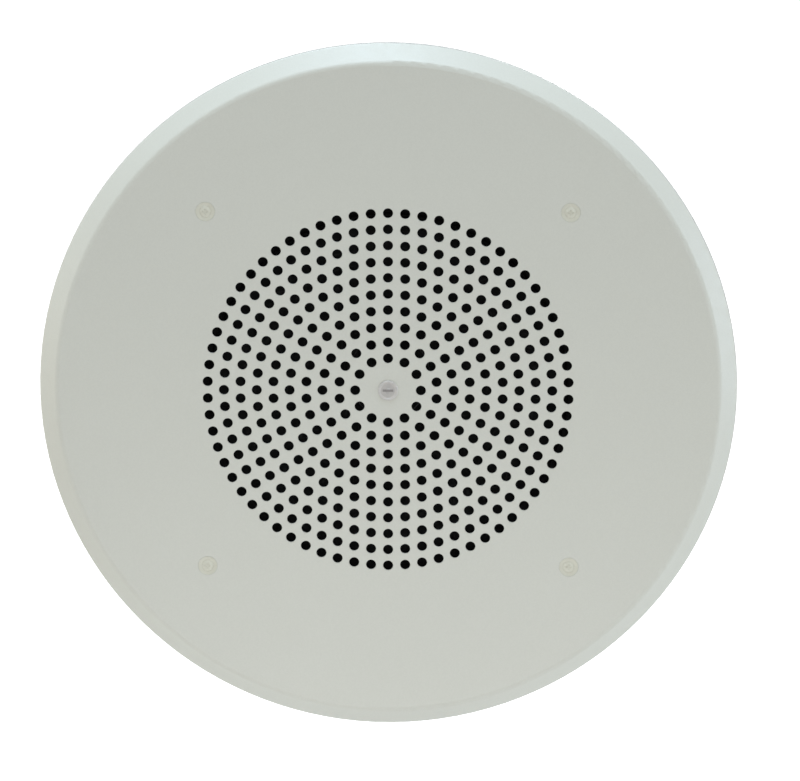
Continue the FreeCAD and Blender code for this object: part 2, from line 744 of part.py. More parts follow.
def make_tinsel_lead(side):
    """Braided lead from a tag, through a window in the frame, to the cone's eyelet."""
    x, z = lug_places()[0 if side > 0 else 1]
    eye_x, eye_z = eyelet_place(side)
    eye_y = cone_front_y(math.hypot(eye_x, eye_z)) + eyelet_back + eyelet_cap
    points = [(x, shelf_back_y + board_sheet, z - lug_lead_drop), (x, shelf_back_y - 5.5, z - 9.0),
              (x - side * 1.0, shelf_back_y - 12.5, z - 6.0),
              (x - side * 5.0, shelf_back_y - 15.5, z + 2.0),
              (eye_x + side * 2.0, eye_y + 3.6, eye_z - 7.5), (eye_x, eye_y + 4.2, eye_z - 0.8),
              (eye_x, eye_y + 1.5 * glue_gap, eye_z)]
    return tube(points, tinsel_radius)


# ---------------------------------------------------------------- brackets
def make_bracket(side):
    """Deck on the spider shelf with a leg down to the flange, for the right (+1) or left (-1) side."""
    path = [(bracket_start, shelf_back_y), (bracket_end, shelf_back_y),
            (bracket_end, flange_back_y), (bracket_foot_end, flange_back_y)]
    arm = strip(path, [bracket_bend] * 2, bracket_sheet, bracket_leg_half_width)
    deck = box(bracket_start, deck_end, shelf_back_y, deck_y, -bracket_half_width, bracket_half_width)
    body = arm.fuse(deck)
    for sign in (1, -1):
        edge = sign * bracket_half_width
        low, high = sorted((edge, edge - sign * bracket_sheet))
        body = body.fuse(box(bracket_start, deck_end, shelf_back_y, deck_y + deck_edge, low, high))
    body = body.removeSplitter()
    cuts = [drill(rivet_radius, shelf_back_y, deck_y, shelf_rivet_x, sign * shelf_rivet_z)
            for sign in (1, -1)]
    cuts.append(drill(rivet_radius, flange_back_y, flange_back_y + bracket_sheet, stud_circle))
    if side > 0:
        cuts += [drill(rivet_radius, shelf_back_y, deck_y, x, z) for x, z in upright_rivet_places()]
    else:
        cuts += [drill(strap_hole_radius, shelf_back_y, deck_y, -x, z) for x, z in strap_screw_places()]
    body = body.cut(group(cuts))
    return body if side > 0 else body.mirror(ORIGIN, AXIS_X)


def make_bracket_rivets():
    """Rivets that hold each bracket to the shelf and, by its foot, to the flange's slot."""
    shelf = rivet(rivet_radius, rivet_head, basket_sheet + bracket_sheet, 1.0)
    front, back = foot_rivet_head, foot_rivet_grip
    foot = turned(polygon_face([(0, -1.0), (front - 0.2, -1.0), (front, -0.5), (front, 0),
                                (rivet_radius, 0), (rivet_radius, back), (front - 0.4, back),
                                (front - 0.8, back + 1.0), (0, back + 1.2)]))
    made = [moved(shelf, x, shelf_y, z) for x, z in shelf_rivet_places()]
    made += [moved(foot, sx * stud_circle, flange_y, 0) for sx in (1, -1)]
    return group(made)


# ---------------------------------------------------------------- line transformer
def strap_screw_places():
    return [(transformer_x, sign * strap_screw_z) for sign in (1, -1)]


def make_transformer_core():
    """Stack of E and I laminations round two windows."""
    half, unit = core_stack / 2, core_unit
    body = box(transformer_x - half, transformer_x + half, deck_y, deck_y + core_height,
               -core_width / 2, core_width / 2)
    for sign in (1, -1):
        low, high = sorted((sign * unit, sign * 2 * unit))
        body = body.cut(box(transformer_x - half - 1, transformer_x + half + 1,
                            deck_y + unit, deck_y + core_height - unit, low, high))
    return body


def wound_box(half_x, half_z, y0, y1, corner):
    """A block round the centre leg, with its corners along Y rounded."""
    body = box(transformer_x - half_x, transformer_x + half_x, y0, y1, -half_z, half_z)
    return body.makeFillet(corner, upright_edges(body))


def spool_space():
    """The rows between the two ends of the core's windows, as (y0, y1)."""
    return deck_y + core_unit + bobbin_gap, deck_y + core_height - core_unit - bobbin_gap


def spool_tube(y0, y1):
    return wound_box(core_stack / 2 + bobbin_wall, core_unit + bobbin_wall, y0, y1, 0.5)


def leg_prism(extra):
    """The centre leg's own space, grown by extra."""
    half = core_stack / 2 + extra
    return box(transformer_x - half, transformer_x + half, deck_y, deck_y + core_height,
               -core_unit - extra, core_unit + extra)


def make_transformer_bobbin():
    """Moulded spool round the centre leg."""
    y0, y1 = spool_space()
    body = spool_tube(y0, y1)
    for low in (y0, y1 - bobbin_cheek):
        body = body.fuse(wound_box(bobbin_half_x, bobbin_half_z, low, low + bobbin_cheek, 1.5))
    return body.cut(leg_prism(0.05))


def make_transformer_coil():
    """Taped winding between the spool's cheeks."""
    y0, y1 = spool_space()
    y0, y1 = y0 + bobbin_cheek, y1 - bobbin_cheek
    return wound_box(coil_half_x, coil_half_z, y0, y1, coil_corner).cut(spool_tube(y0, y1))


def make_transformer_strap():
    """Steel channel over the core, with a foot at each end."""
    side = core_width / 2
    top = deck_y + core_height
    path = [(-side - strap_foot, deck_y), (-side, deck_y), (-side, top), (side, top), (side, deck_y),
            (side + strap_foot, deck_y)]
    foot_bend, top_bend = 0.6, 0.02
    body = strip(path, [foot_bend, top_bend, top_bend, foot_bend], strap_sheet, strap_width / 2)
    body.rotate(ORIGIN, AXIS_Y, 90)
    body.translate(V(transformer_x, 0, 0))
    holes = [drill(strap_hole_radius, deck_y, deck_y + strap_sheet, x, z) for x, z in strap_screw_places()]
    return body.cut(group(holes))


def make_transformer_screws():
    head_radius, head_height, recess, neck = 2.9, 2.0, 1.1, 0.3
    one = pan_head_screw(head_radius, head_height, strap_screw_radius, strap_screw_length, recess,
                         strap_screw_radius + 0.05, neck)
    one.rotate(ORIGIN, AXIS_X, 180)
    return group([moved(one, x, deck_y + strap_sheet, z) for x, z in strap_screw_places()])


def make_transformer_nuts():
    one = hexagon(strap_nut_flats, strap_nut_height, strap_screw_radius)
    return group([moved(one, x, shelf_back_y - strap_nut_height, z) for x, z in strap_screw_places()])


# ---------------------------------------------------------------- tap selector
def upright_rivet_places():
    return [(upright_rivet_x, sign * upright_rivet_z) for sign in (1, -1)]


def make_switch_bracket():
    """L-shaped upright that carries the rotary switch."""
    wall, back = selector_wall_x, selector_wall_x + strap_sheet
    path = [(upright_start, deck_y), (back, deck_y), (back, selector_y + upright_top)]
    body = strip(path, [1.4], strap_sheet, upright_half_width)
    corners = [e for e in body.Edges if abs(e.tangentAt(e.FirstParameter).x) > 0.999
               and e.Length < 2 * strap_sheet and e.BoundBox.YMin > selector_y + upright_top / 2]
    body = body.makeFillet(4.0, corners)
    cuts = [drill(rivet_radius, deck_y, deck_y + strap_sheet, x, z) for x, z in upright_rivet_places()]
    cuts.append(drill_x(bushing_radius + 0.1, wall, back, selector_y))
    return body.cut(group(cuts))


def make_switch_bracket_rivets():
    one = rivet(rivet_radius, rivet_head, bracket_sheet + strap_sheet, 0.8)
    return group([moved(one, x, shelf_back_y, z) for x, z in upright_rivet_places()])


def lug_angle(k):
    """Five tags 30 degrees apart on the far side of the switch, and a common one, tag 5, by the deck."""
    return 270 if k == 5 else 30 + 30 * k


def lug_contact(k):
    """Where a lead's axis lies along tag k, as (y, z)."""
    radius = tag_radius + tag_sheet / 2 + lead_radius
    z, y = on_circle(radius, lug_angle(k))
    return selector_y + y, z


def make_selector_body():
    """Moulded rotary switch behind the upright."""
    wall, outer, cap = selector_wall_x, selector_radius, selector_radius - 1.0
    cap_depth, chamfer = 3.0, 0.6
    drum = turned(polygon_face([(0, 0), (cap, 0), (cap, cap_depth), (outer, cap_depth + chamfer),
                                (outer, selector_depth - chamfer), (outer - chamfer, selector_depth),
                                (0, selector_depth)]))
    drum = moved(turned_to_x(drum), wall - selector_depth, selector_y, 0)
    bore = bar_x(shaft_radius + shaft_clearance, wall - bore_depth, wall + cutter_overrun, selector_y)
    slots = [lug_solid(k, 0.0) for k in range(6)]
    return drum.cut(group([bore] + slots))


def lug_solid(k, reach):
    """Solder tag k, from inside the drum to reach beyond its back. Tag 5 is the common one."""
    start = selector_wall_x - selector_depth
    half = tag_sheet / 2
    tag = box(start - reach, start + 2.0, tag_radius - half, tag_radius + half,
              -tag_half_width, tag_half_width)
    tag.rotate(ORIGIN, AXIS_X, 90 - lug_angle(k))
    return moved(tag, 0, selector_y, 0)


def make_selector_lugs():
    return group([lug_solid(k, tag_reach) for k in range(6)])


def make_selector_bushing():
    start, end = selector_wall_x, selector_wall_x + bushing_length
    bore = drill_x(shaft_radius + shaft_clearance, start, end, selector_y)
    return bar_x(bushing_radius, start, end, selector_y).cut(bore)


def make_selector_dial():
    """Thin plate behind the nut that carries the position marks."""
    start = selector_wall_x + strap_sheet
    end = start + dial_sheet
    plate = bar_x(dial_radius, start, end, selector_y)
    return plate.cut(drill_x(bushing_radius + 0.05, start, end, selector_y))


def make_selector_washer():
    start = selector_wall_x + strap_sheet + dial_sheet
    end = start + selector_washer_sheet
    body = bar_x(selector_washer_radius, start, end, selector_y)
    return body.cut(drill_x(bushing_radius + 0.1, start, end, selector_y))


def make_selector_nut():
    nut = turned_to_x(hexagon(selector_nut_flats, selector_nut_height, bushing_radius))
    start = selector_wall_x + strap_sheet + dial_sheet + selector_washer_sheet
    return moved(nut, start, selector_y, 0)


def shaft_bar(start, end):
    """The round shaft from start to end, measured from the upright, with its flat for the knob."""
    wall = selector_wall_x
    body = bar_x(shaft_radius, wall + start, wall + end, selector_y)
    beyond = shaft_radius + cutter_overrun
    flat = box(wall + shaft_flat_start, wall + end + cutter_overrun,
               selector_y + shaft_flat, selector_y + beyond, -beyond, beyond)
    return body.cut(flat)


def make_selector_shaft():
    return shaft_bar(0.2 - bore_depth, shaft_end)


def make_selector_knob():
    """Fluted knob with a skirt and a raised pointer, which points back (+Y) at rest."""
    skirt, skirt_height = knob_skirt_radius, 1.2
    points = [(0, 0), (skirt, 0), (skirt, skirt_height), (skirt - 0.8, 2 * skirt_height - 0.4),
              (knob_radius, 2 * skirt_height), (knob_radius - 0.3, knob_length - 0.8),
              (knob_top_radius, knob_length), (0, knob_length)]
    body = turned(polygon_face(points))
    flutes = []
    for k in range(flute_count):
        x, z = on_circle(flute_circle, 360 * (k + 0.5) / flute_count)
        flutes.append(post(flute_radius, 2 * skirt_height + 0.5, knob_length + cutter_overrun, x, z))
    body = body.cut(group(flutes))
    pointer = box(-pointer_half_width, pointer_half_width, 1.6, knob_length + 0.6, 0, pointer_reach)
    body = turned_to_x(body.fuse(pointer).removeSplitter())
    body.rotate(ORIGIN, AXIS_X, -90)
    body = moved(body, selector_wall_x + knob_start, selector_y, 0)
    return body.cut(group([shaft_bar(0, shaft_end), set_screw_bar(set_screw_length + 1.4)]))


def set_screw_bar(length):
    """The set screw's bar: length outward from the far side of the shaft's flat."""
    start = V(selector_wall_x + set_screw_x, selector_y - shaft_radius - length, 0)
    return Part.makeCylinder(set_screw_radius, length, start, AXIS_Y)


def make_knob_set_screw():
    x, head_y = selector_wall_x + set_screw_x, selector_y - shaft_radius - set_screw_length
    slot = box(x - 2, x + 2, head_y - cutter_overrun, head_y + 0.7, -0.25, 0.25)
    return set_screw_bar(set_screw_length).cut(slot)


# ---------------------------------------------------------------- line terminals and leads
def pole_x(k):
    return sum(block_x) / 2 + (k - 0.5) * pole_spacing


def make_terminal_block():
    """Two-pole screw block on the right deck. The line enters from below, the internal leads from above."""
    y0, y1 = deck_y, deck_y + block_height
    middle = sum(block_z) / 2
    body = box(*block_x, y0, y0 + block_base, *block_z)
    cuts = []
    for k in range(2):
        x = pole_x(k)
        tower = box(x - tower_half_width, x + tower_half_width, y0 + block_base, y1,
                    block_z[0] + 1, block_z[1] - 1)
        body = body.fuse(tower.makeFillet(1.0, upright_edges(tower)))
        cuts.append(post(clamp_head_radius + 0.05, y0 + wire_height, y1 + cutter_overrun, x, middle))
        wire_start, wire_run = block_z[0] - 4, block_z[1] - block_z[0] + 8
        cuts.append(Part.makeCylinder(wire_hole_radius, wire_run, V(x, y0 + wire_height, wire_start), AXIS_Z))
    return body.removeSplitter().cut(group(cuts))


def make_terminal_block_screws():
    middle = sum(block_z) / 2
    made = []
    for k in range(2):
        x, low = pole_x(k), deck_y + wire_height + 1.8
        neck, top = low + 2.0, low + 4.2
        head = post(clamp_head_radius, neck, top, x, middle)
        slot = box(x - 3, x + 3, top - 0.9, top + cutter_overrun, middle - 0.3, middle + 0.3)
        made.append(head.cut(slot).fuse(post(clamp_radius, low, neck, x, middle)).removeSplitter())
    return group(made)


def make_lead_clip():
    """Saddle stuck to the shelf that holds the five primary leads over the top of the magnet."""
    middle = lead_circle * math.cos(math.radians(12))
    half, y = clip_half_length, shelf_back_y
    body = box(-half, half, y, y + clip_height, middle - clip_inner, middle + clip_outer)
    body = body.makeFillet(1.2, [e for e in body.Edges if abs(e.tangentAt(0).x) > 0.999])
    slot = box(-half - cutter_overrun, half + cutter_overrun, y + clip_slot_low, y + clip_slot_high,
               middle - clip_slot_half, middle + clip_slot_half)
    return body.cut(slot)


def coil_exit(rise, z):
    """The first two points of a lead that leaves the coil square to its wrapping."""
    face = transformer_x + coil_half_x
    return [(face, shelf_back_y + rise, z), (face + 6.0, shelf_back_y + rise, z)]


def primary_lead(k):
    """Lead k of five leaves the coil, passes over the magnet in the clip and ends at its terminal.

    Lead 0 is the common one, to the terminal block. Leads 1 to 4 go to the switch's tags.
    """
    y = shelf_back_y + 5.6 + lead_pitch * k
    start = coil_exit(10.2 + lead_pitch * k, 2.0 + 2.2 * k)
    bow = [(x, y, z) for x, z in (on_circle(lead_circle, a) for a in (150, 126, 102, 78, 54))]
    if k == 0:
        wire_y = deck_y + wire_height
        end = [(43.8, y - 0.2, 26.0), (46.6, y + 0.3, 9.0), (49.4, wire_y - 0.4, -4.5),
               (pole_x(0), wire_y, -12.5), (pole_x(0), wire_y, block_z[1] - lead_socket)]
        return tube(start + bow + end, lead_radius)
    tag_y, tag_z = lug_contact(k - 1)
    tip_x = selector_wall_x - selector_depth - tag_reach
    end = [(50.0 - 1.8 * k, shelf_back_y + 14.0 + 2.4 * k, 26.0 - 1.8 * k),
           (tip_x - 5.0 - 1.6 * k, tag_y, tag_z), (tip_x + 3.0, tag_y, tag_z)]
    return tube(start + bow + end, lead_radius)


def speaker_lead(k):
    """Secondary lead k of two, round below the magnet to a tag on the driver's terminal board."""
    y = shelf_back_y + 6.0 + 1.7 * k
    start = coil_exit(10.4 + 1.7 * k, -4.0 - 3.0 * k)
    angles = (206, 228, 250, 272, 290) if k else (208, 226)
    bow = [(x, y, z) for x, z in (on_circle(lead_circle - 3 - 1.5 * k, a) for a in angles)]
    x, z = lug_places()[1 - k]
    return tube(start + bow + [(x, shelf_back_y + 6.3, z + 3.1 + lead_radius)], lead_radius)


def line_lead():
    """Jumper from the block's second pole to the switch's common tag."""
    tag_y, tag_z = lug_contact(5)
    tip_x = selector_wall_x - selector_depth - tag_reach
    wire_y = deck_y + wire_height
    return tube([(pole_x(1), wire_y, block_z[1] - lead_socket), (pole_x(1), wire_y, -12.0),
                 (pole_x(1) + 0.6, tag_y + 0.2, -4.6), (tip_x - 2.4, tag_y, tag_z - 0.4),
                 (tip_x + 3.0, tag_y, tag_z)], lead_radius)


# ---------------------------------------------------------------- nodes
def nodes():
    made = {
        "baffle": make_baffle(),
        "badge": make_badge(),
        "mounting_screws": make_mounting_screws(),
        "speaker_studs": make_speaker_studs(),
        "lock_washers": make_lock_washers(),
        "speaker_nuts": make_speaker_nuts(),
        "gasket": make_gasket(),
        "basket": make_basket(),
        "top_plate": make_top_plate(),
        "plate_rivets": make_plate_rivets(),
        "magnet": make_magnet(),
        "back_plate": make_back_plate(),
        "pole_piece": make_pole_piece(),
        "cone": make_cone(),
        "cone_eyelets": make_cone_eyelets(),
        "dust_cap": make_dust_cap(),
        "voice_coil_former": make_former(),
        "voice_coil_winding": make_winding(),
        "surround": make_surround(),
        "spider": make_spider(),
        "terminal_board": make_terminal_board(),
        "terminal_lugs": make_terminal_lugs(),
        "terminal_rivets": make_terminal_rivets(),
        "tinsel_lead_right": make_tinsel_lead(1),
        "tinsel_lead_left": make_tinsel_lead(-1),
        "selector_bracket": make_bracket(1),
        "transformer_bracket": make_bracket(-1),
        "bracket_rivets": make_bracket_rivets(),
        "transformer_core": make_transformer_core(),
        "transformer_bobbin": make_transformer_bobbin(),
        "transformer_coil": make_transformer_coil(),
        "transformer_strap": make_transformer_strap(),
        "transformer_screws": make_transformer_screws(),
        "transformer_nuts": make_transformer_nuts(),
        "switch_bracket": make_switch_bracket(),
        "switch_bracket_rivets": make_switch_bracket_rivets(),
        "selector_body": make_selector_body(),
        "selector_lugs": make_selector_lugs(),
        "selector_bushing": make_selector_bushing(),
        "selector_dial": make_selector_dial(),
        "selector_washer": make_selector_washer(),
        "selector_nut": make_selector_nut(),
        "selector_shaft": make_selector_shaft(),
        "selector_knob": make_selector_knob(),
        "knob_set_screw": make_knob_set_screw(),
        "terminal_block": make_terminal_block(),
        "terminal_block_screws": make_terminal_block_screws(),
        "lead_clip": make_lead_clip(),
        "line_lead": line_lead(),
    }
    for k, name in enumerate(("common", "tap_1", "tap_2", "tap_3", "tap_4")):
        made["primary_lead_" + name] = primary_lead(k)
    for k, name in enumerate(("left", "right")):
        made["speaker_lead_" + name] = speaker_lead(k)
    return made


def main():
    os.makedirs("parts", exist_ok=True)
    for name, shape in nodes().items():
        solids = shape.Solids
        bad = [s for s in solids if not s.isValid() or s.Volume <= 0]
        if not solids or bad:
            print("PROBLEM", name, len(solids), "solids,", len(bad), "bad")
        shape = solids[0] if len(solids) == 1 else Part.makeCompound(solids)
        shape.exportStep("parts/" + name + ".step")
        print("%-24s solids %2d volume %9.1f mm3" % (name, len(solids), sum(s.Volume for s in solids)))


main()
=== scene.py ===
"""Looks for the flush round alarm loudspeaker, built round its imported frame.

Metres, in the frame's own axes: the face looks along -Y, the driver stands behind it along +Y, +Z is up.
"""

import json
import math
import random

import bmesh
import bpy
from mathutils import Matrix, Vector, noise


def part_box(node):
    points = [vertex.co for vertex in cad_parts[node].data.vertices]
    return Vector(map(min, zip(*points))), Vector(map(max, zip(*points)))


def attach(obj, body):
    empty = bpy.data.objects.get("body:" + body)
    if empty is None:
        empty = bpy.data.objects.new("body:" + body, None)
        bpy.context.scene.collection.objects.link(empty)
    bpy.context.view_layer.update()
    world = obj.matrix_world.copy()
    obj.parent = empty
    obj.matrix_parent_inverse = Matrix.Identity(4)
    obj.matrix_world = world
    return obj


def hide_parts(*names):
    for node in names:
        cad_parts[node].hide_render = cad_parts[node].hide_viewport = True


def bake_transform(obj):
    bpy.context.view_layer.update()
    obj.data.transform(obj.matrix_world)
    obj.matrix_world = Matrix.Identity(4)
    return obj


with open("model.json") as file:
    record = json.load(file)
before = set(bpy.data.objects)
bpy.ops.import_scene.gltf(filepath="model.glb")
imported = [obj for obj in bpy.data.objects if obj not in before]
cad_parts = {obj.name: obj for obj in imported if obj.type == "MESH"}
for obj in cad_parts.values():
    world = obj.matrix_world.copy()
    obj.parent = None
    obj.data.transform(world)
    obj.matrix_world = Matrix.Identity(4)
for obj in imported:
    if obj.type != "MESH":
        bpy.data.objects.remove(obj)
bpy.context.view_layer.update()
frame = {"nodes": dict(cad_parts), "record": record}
nodes = frame["nodes"]

MM = 0.001
TURN = 2 * math.pi

# ---------------------------------------------------------------- places read from the frame
face_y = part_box("baffle")[0].y
flange_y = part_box("basket")[0].y
shelf_back_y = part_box("terminal_board")[0].y
stud_end_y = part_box("speaker_studs")[1].y
dial_face_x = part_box("selector_dial")[1].x
pointer_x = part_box("selector_knob")[1].x
spider_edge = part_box("spider")[1].x
magnet_low, magnet_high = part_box("magnet")
core_low, core_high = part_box("transformer_core")
coil_low, coil_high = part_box("transformer_coil")
drum_low, drum_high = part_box("selector_body")
screw_low, screw_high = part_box("mounting_screws")
selector_y = (drum_low.y + drum_high.y) / 2
mounts = {mount["name"]: mount for mount in frame["record"]["mounts"]}
screw_side = mounts["fixing_screws"]["dims"]["spacing_x_mm"] / 2 * MM

# ---------------------------------------------------------------- places that no box of the frame gives
screw_head = 1.1 * MM
seat_y = screw_low.y + screw_head
# Radii of the studs about the driver's axis, and of the leads on the switch's tags about its shaft.
stud_circle = 96.85 * MM
tag_circle = 9.45 * MM
# Tags with a lead and marks on the dial, in degrees about the shaft from +Z towards +Y.
lead_tags = (30, 60, 90, 120, 270)
dial_steps = (30, 60, 90, 120, 150)
# The terminal tag and the cone's eyelet on the right. Those on the left mirror them.
lug_x, lug_z = 24.0 * MM, -53.0 * MM
eyelet_x, eyelet_z = 13.0 * MM, -34.0 * MM


# ---------------------------------------------------------------- camera, light and floor
def aim(thing, point):
    """Turn a camera or lamp so that it looks at a point, with its top upwards."""
    thing.rotation_euler = (Vector(point) - thing.location).to_track_quat("-Z", "Y").to_euler()


def make_camera(azimuth=1.08, elevation=12.92, distance=2.917, lens=280.6, aside=0.0056):
    data = bpy.data.cameras.new("camera")
    data.lens = lens
    data.sensor_width = 36
    data.clip_start, data.clip_end = 0.05, 60
    camera = bpy.data.objects.new("camera", data)
    bpy.context.scene.collection.objects.link(camera)
    a, e = math.radians(azimuth), math.radians(elevation)
    way = Vector((math.sin(a) * math.cos(e), -math.cos(a) * math.cos(e), math.sin(e)))
    camera.location = Vector((0, face_y, 0)) + way * distance
    aim(camera, (aside, face_y, 0))
    bpy.context.scene.camera = camera


def make_lamp(name, place, target, size, power, colour=(1, 1, 1)):
    data = bpy.data.lights.new(name, "AREA")
    data.shape = "RECTANGLE"
    data.size, data.size_y = size
    data.energy = power
    data.color = colour
    lamp = bpy.data.objects.new(name, data)
    bpy.context.scene.collection.objects.link(lamp)
    lamp.location = place
    aim(lamp, target)


def make_world(front=0.62, back_low=0.30, back_high=0.75):
    """A white backdrop. Its light is even in front, and behind it rises from dark below to bright above."""
    world = bpy.data.worlds.new("studio")
    bpy.context.scene.world = world
    world.use_nodes = True
    tree = world.node_tree
    way = tree.nodes.new("ShaderNodeSeparateXYZ")
    tree.links.new(tree.nodes.new("ShaderNodeTexCoord").outputs["Generated"], way.inputs[0])
    behind = tree.nodes.new("ShaderNodeMapRange")
    behind.interpolation_type = "SMOOTHSTEP"
    behind.inputs["From Min"].default_value, behind.inputs["From Max"].default_value = 0.0, 0.5
    tree.links.new(way.outputs["Y"], behind.inputs["Value"])
    height = tree.nodes.new("ShaderNodeMapRange")
    height.inputs["From Min"].default_value, height.inputs["From Max"].default_value = -0.4, 0.8
    height.inputs["To Min"].default_value, height.inputs["To Max"].default_value = back_low, back_high
    tree.links.new(way.outputs["Z"], height.inputs["Value"])
    light = tree.nodes.new("ShaderNodeMix")
    tree.links.new(behind.outputs[0], light.inputs[0])
    light.inputs["A"].default_value = front
    tree.links.new(height.outputs[0], light.inputs["B"])
    seen = tree.nodes.new("ShaderNodeMix")
    tree.links.new(tree.nodes.new("ShaderNodeLightPath").outputs["Is Camera Ray"], seen.inputs[0])
    tree.links.new(light.outputs[0], seen.inputs["A"])
    seen.inputs["B"].default_value = 1.0
    tree.links.new(seen.outputs[0], tree.nodes["Background"].inputs["Strength"])
    tree.nodes["Background"].inputs["Color"].default_value = (1, 1, 1, 1)


def make_floor(drop=0.32, reach=14.0, lift=0.75):
    """A pale floor. To the camera it also glows, so that it stays as white as the backdrop."""
    mesh = bpy.data.meshes.new("floor")
    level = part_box("baffle")[0].z - drop
    corners = [(x * reach, y * reach, level) for x, y in ((-1, -1), (1, -1), (1, 1), (-1, 1))]
    mesh.from_pydata(corners, [], [(0, 1, 2, 3)])
    floor = bpy.data.objects.new("floor", mesh)
    bpy.context.scene.collection.objects.link(floor)
    paint = Finish("pale_floor", (0.60, 0.60, 0.60), roughness=0.9)
    seen = paint.node("ShaderNodeLightPath").outputs["Is Camera Ray"]
    paint.feed("Base Color", paint.mix(paint.noise(40, detail=4), (0.58,) * 3, (0.62,) * 3))
    paint.feed("Emission Strength", paint.math("MULTIPLY", seen, lift))
    paint.set("Emission Color", (1, 1, 1, 1))
    mesh.materials.append(paint.material)


# ---------------------------------------------------------------- material builder
class Finish:
    """A node material being built: its Principled surface, and short calls for the nodes it uses."""

    def __init__(self, name, colour, metallic=0.0, roughness=0.5):
        self.material = bpy.data.materials.new(name)
        self.material.use_nodes = True
        self.tree = self.material.node_tree
        self.surface = self.tree.nodes["Principled BSDF"]
        self.place = self.node("ShaderNodeTexCoord").outputs["Object"]
        self.normal = None
        self.set("Base Color", (*colour, 1))
        self.set("Metallic", metallic)
        self.set("Roughness", roughness)

    def node(self, kind, **settings):
        made = self.tree.nodes.new(kind)
        for key, value in settings.items():
            setattr(made, key, value)
        return made

    def set(self, socket, value):
        self.surface.inputs[socket].default_value = value

    def feed(self, socket, value):
        self.tree.links.new(value, self.surface.inputs[socket])

    def plug(self, value, socket):
        """Link an output to a socket, or set the socket to a number or colour."""
        if isinstance(value, bpy.types.NodeSocket):
            self.tree.links.new(value, socket)
        elif isinstance(value, (tuple, list)) and len(value) == 3 and socket.type == "RGBA":
            socket.default_value = (*value, 1)
        else:
            socket.default_value = value

    def math(self, operation, a, b=0.0):
        made = self.node("ShaderNodeMath", operation=operation)
        self.plug(a, made.inputs[0])
        self.plug(b, made.inputs[1])
        return made.outputs[0]

    def stretched(self, scale, turn=(0, 0, 0)):
        """The place, turned and then scaled along each axis."""
        made = self.node("ShaderNodeMapping")
        made.inputs["Scale"].default_value = scale
        made.inputs["Rotation"].default_value = turn
        self.plug(self.place, made.inputs["Vector"])
        return made.outputs[0]

    def noise(self, scale, detail=2.0, distortion=0.0, where=None):
        made = self.node("ShaderNodeTexNoise")
        made.inputs["Scale"].default_value = scale
        made.inputs["Detail"].default_value = detail
        made.inputs["Distortion"].default_value = distortion
        self.plug(self.place if where is None else where, made.inputs["Vector"])
        return made.outputs[0]

    def cells(self, scale, output="Color"):
        made = self.node("ShaderNodeTexVoronoi")
        made.inputs["Scale"].default_value = scale
        self.plug(self.place, made.inputs["Vector"])
        return made.outputs[output]

    def span(self, value, low, high, to_low=0.0, to_high=1.0):
        """value from low to high, turned smoothly into to_low to to_high."""
        made = self.node("ShaderNodeMapRange", interpolation_type="SMOOTHSTEP")
        for name, v in (("Value", value), ("From Min", low), ("From Max", high),
                        ("To Min", to_low), ("To Max", to_high)):
            self.plug(v, made.inputs[name])
        return made.outputs[0]

    def cloudy(self, scale, low=0.0, high=1.0, detail=3.0):
        """Noise spread out so that it fills low to high."""
        return self.span(self.noise(scale, detail), 0.3, 0.7, low, high)

    def mix(self, factor, a, b):
        made = self.node("ShaderNodeMix", data_type="RGBA")
        self.plug(factor, made.inputs[0])
        self.plug(a, made.inputs[6])
        self.plug(b, made.inputs[7])
        return made.outputs[2]

    def ramp(self, factor, stops):
        made = self.node("ShaderNodeValToRGB")
        points = made.color_ramp.elements
        while len(points) < len(stops):
            points.new(0.5)
        for point, (at, colour) in zip(points, stops):
            point.position = at
            point.color = (*colour, 1)
        self.plug(factor, made.inputs[0])
        return made.outputs[0]

    def axes(self):
        """x, y and z of the place."""
        made = self.node("ShaderNodeSeparateXYZ")
        self.plug(self.place, made.inputs[0])
        return made.outputs

    def polar(self):
        """Radius and angle about the driver's axis."""
        x, _, z = self.axes()
        square = self.math("ADD", self.math("MULTIPLY", x, x), self.math("MULTIPLY", z, z))
        return self.math("SQRT", square), self.math("ARCTAN2", z, x)

    def waves(self, value, pitch):
        """Sine ridges, 0 to 1, one each pitch."""
        wave = self.math("SINE", self.math("MULTIPLY", value, TURN / pitch))
        return self.span(wave, -1.0, 1.0)

    def soften(self, radius):
        """Round every edge a little in the shading, as a deburred or painted edge is."""
        made = self.node("ShaderNodeBevel", samples=4)
        made.inputs["Radius"].default_value = radius
        self.normal = made.outputs[0]

    def bump(self, height, distance, strength):
        made = self.node("ShaderNodeBump")
        made.inputs["Distance"].default_value = distance
        made.inputs["Strength"].default_value = strength
        self.plug(height, made.inputs["Height"])
        if self.normal is not None:
            self.plug(self.normal, made.inputs["Normal"])
        self.normal = made.outputs[0]

    def done(self):
        if self.normal is not None:
            self.feed("Normal", self.normal)
        return self.material


# ---------------------------------------------------------------- materials
FACE_PAINT = (0.622, 0.618, 0.545)
SCREW_PAINT = (0.632, 0.618, 0.511)


def shade(colour, times):
    """The colour made darker, or lighter with times above 1."""
    return tuple(c * times for c in colour)


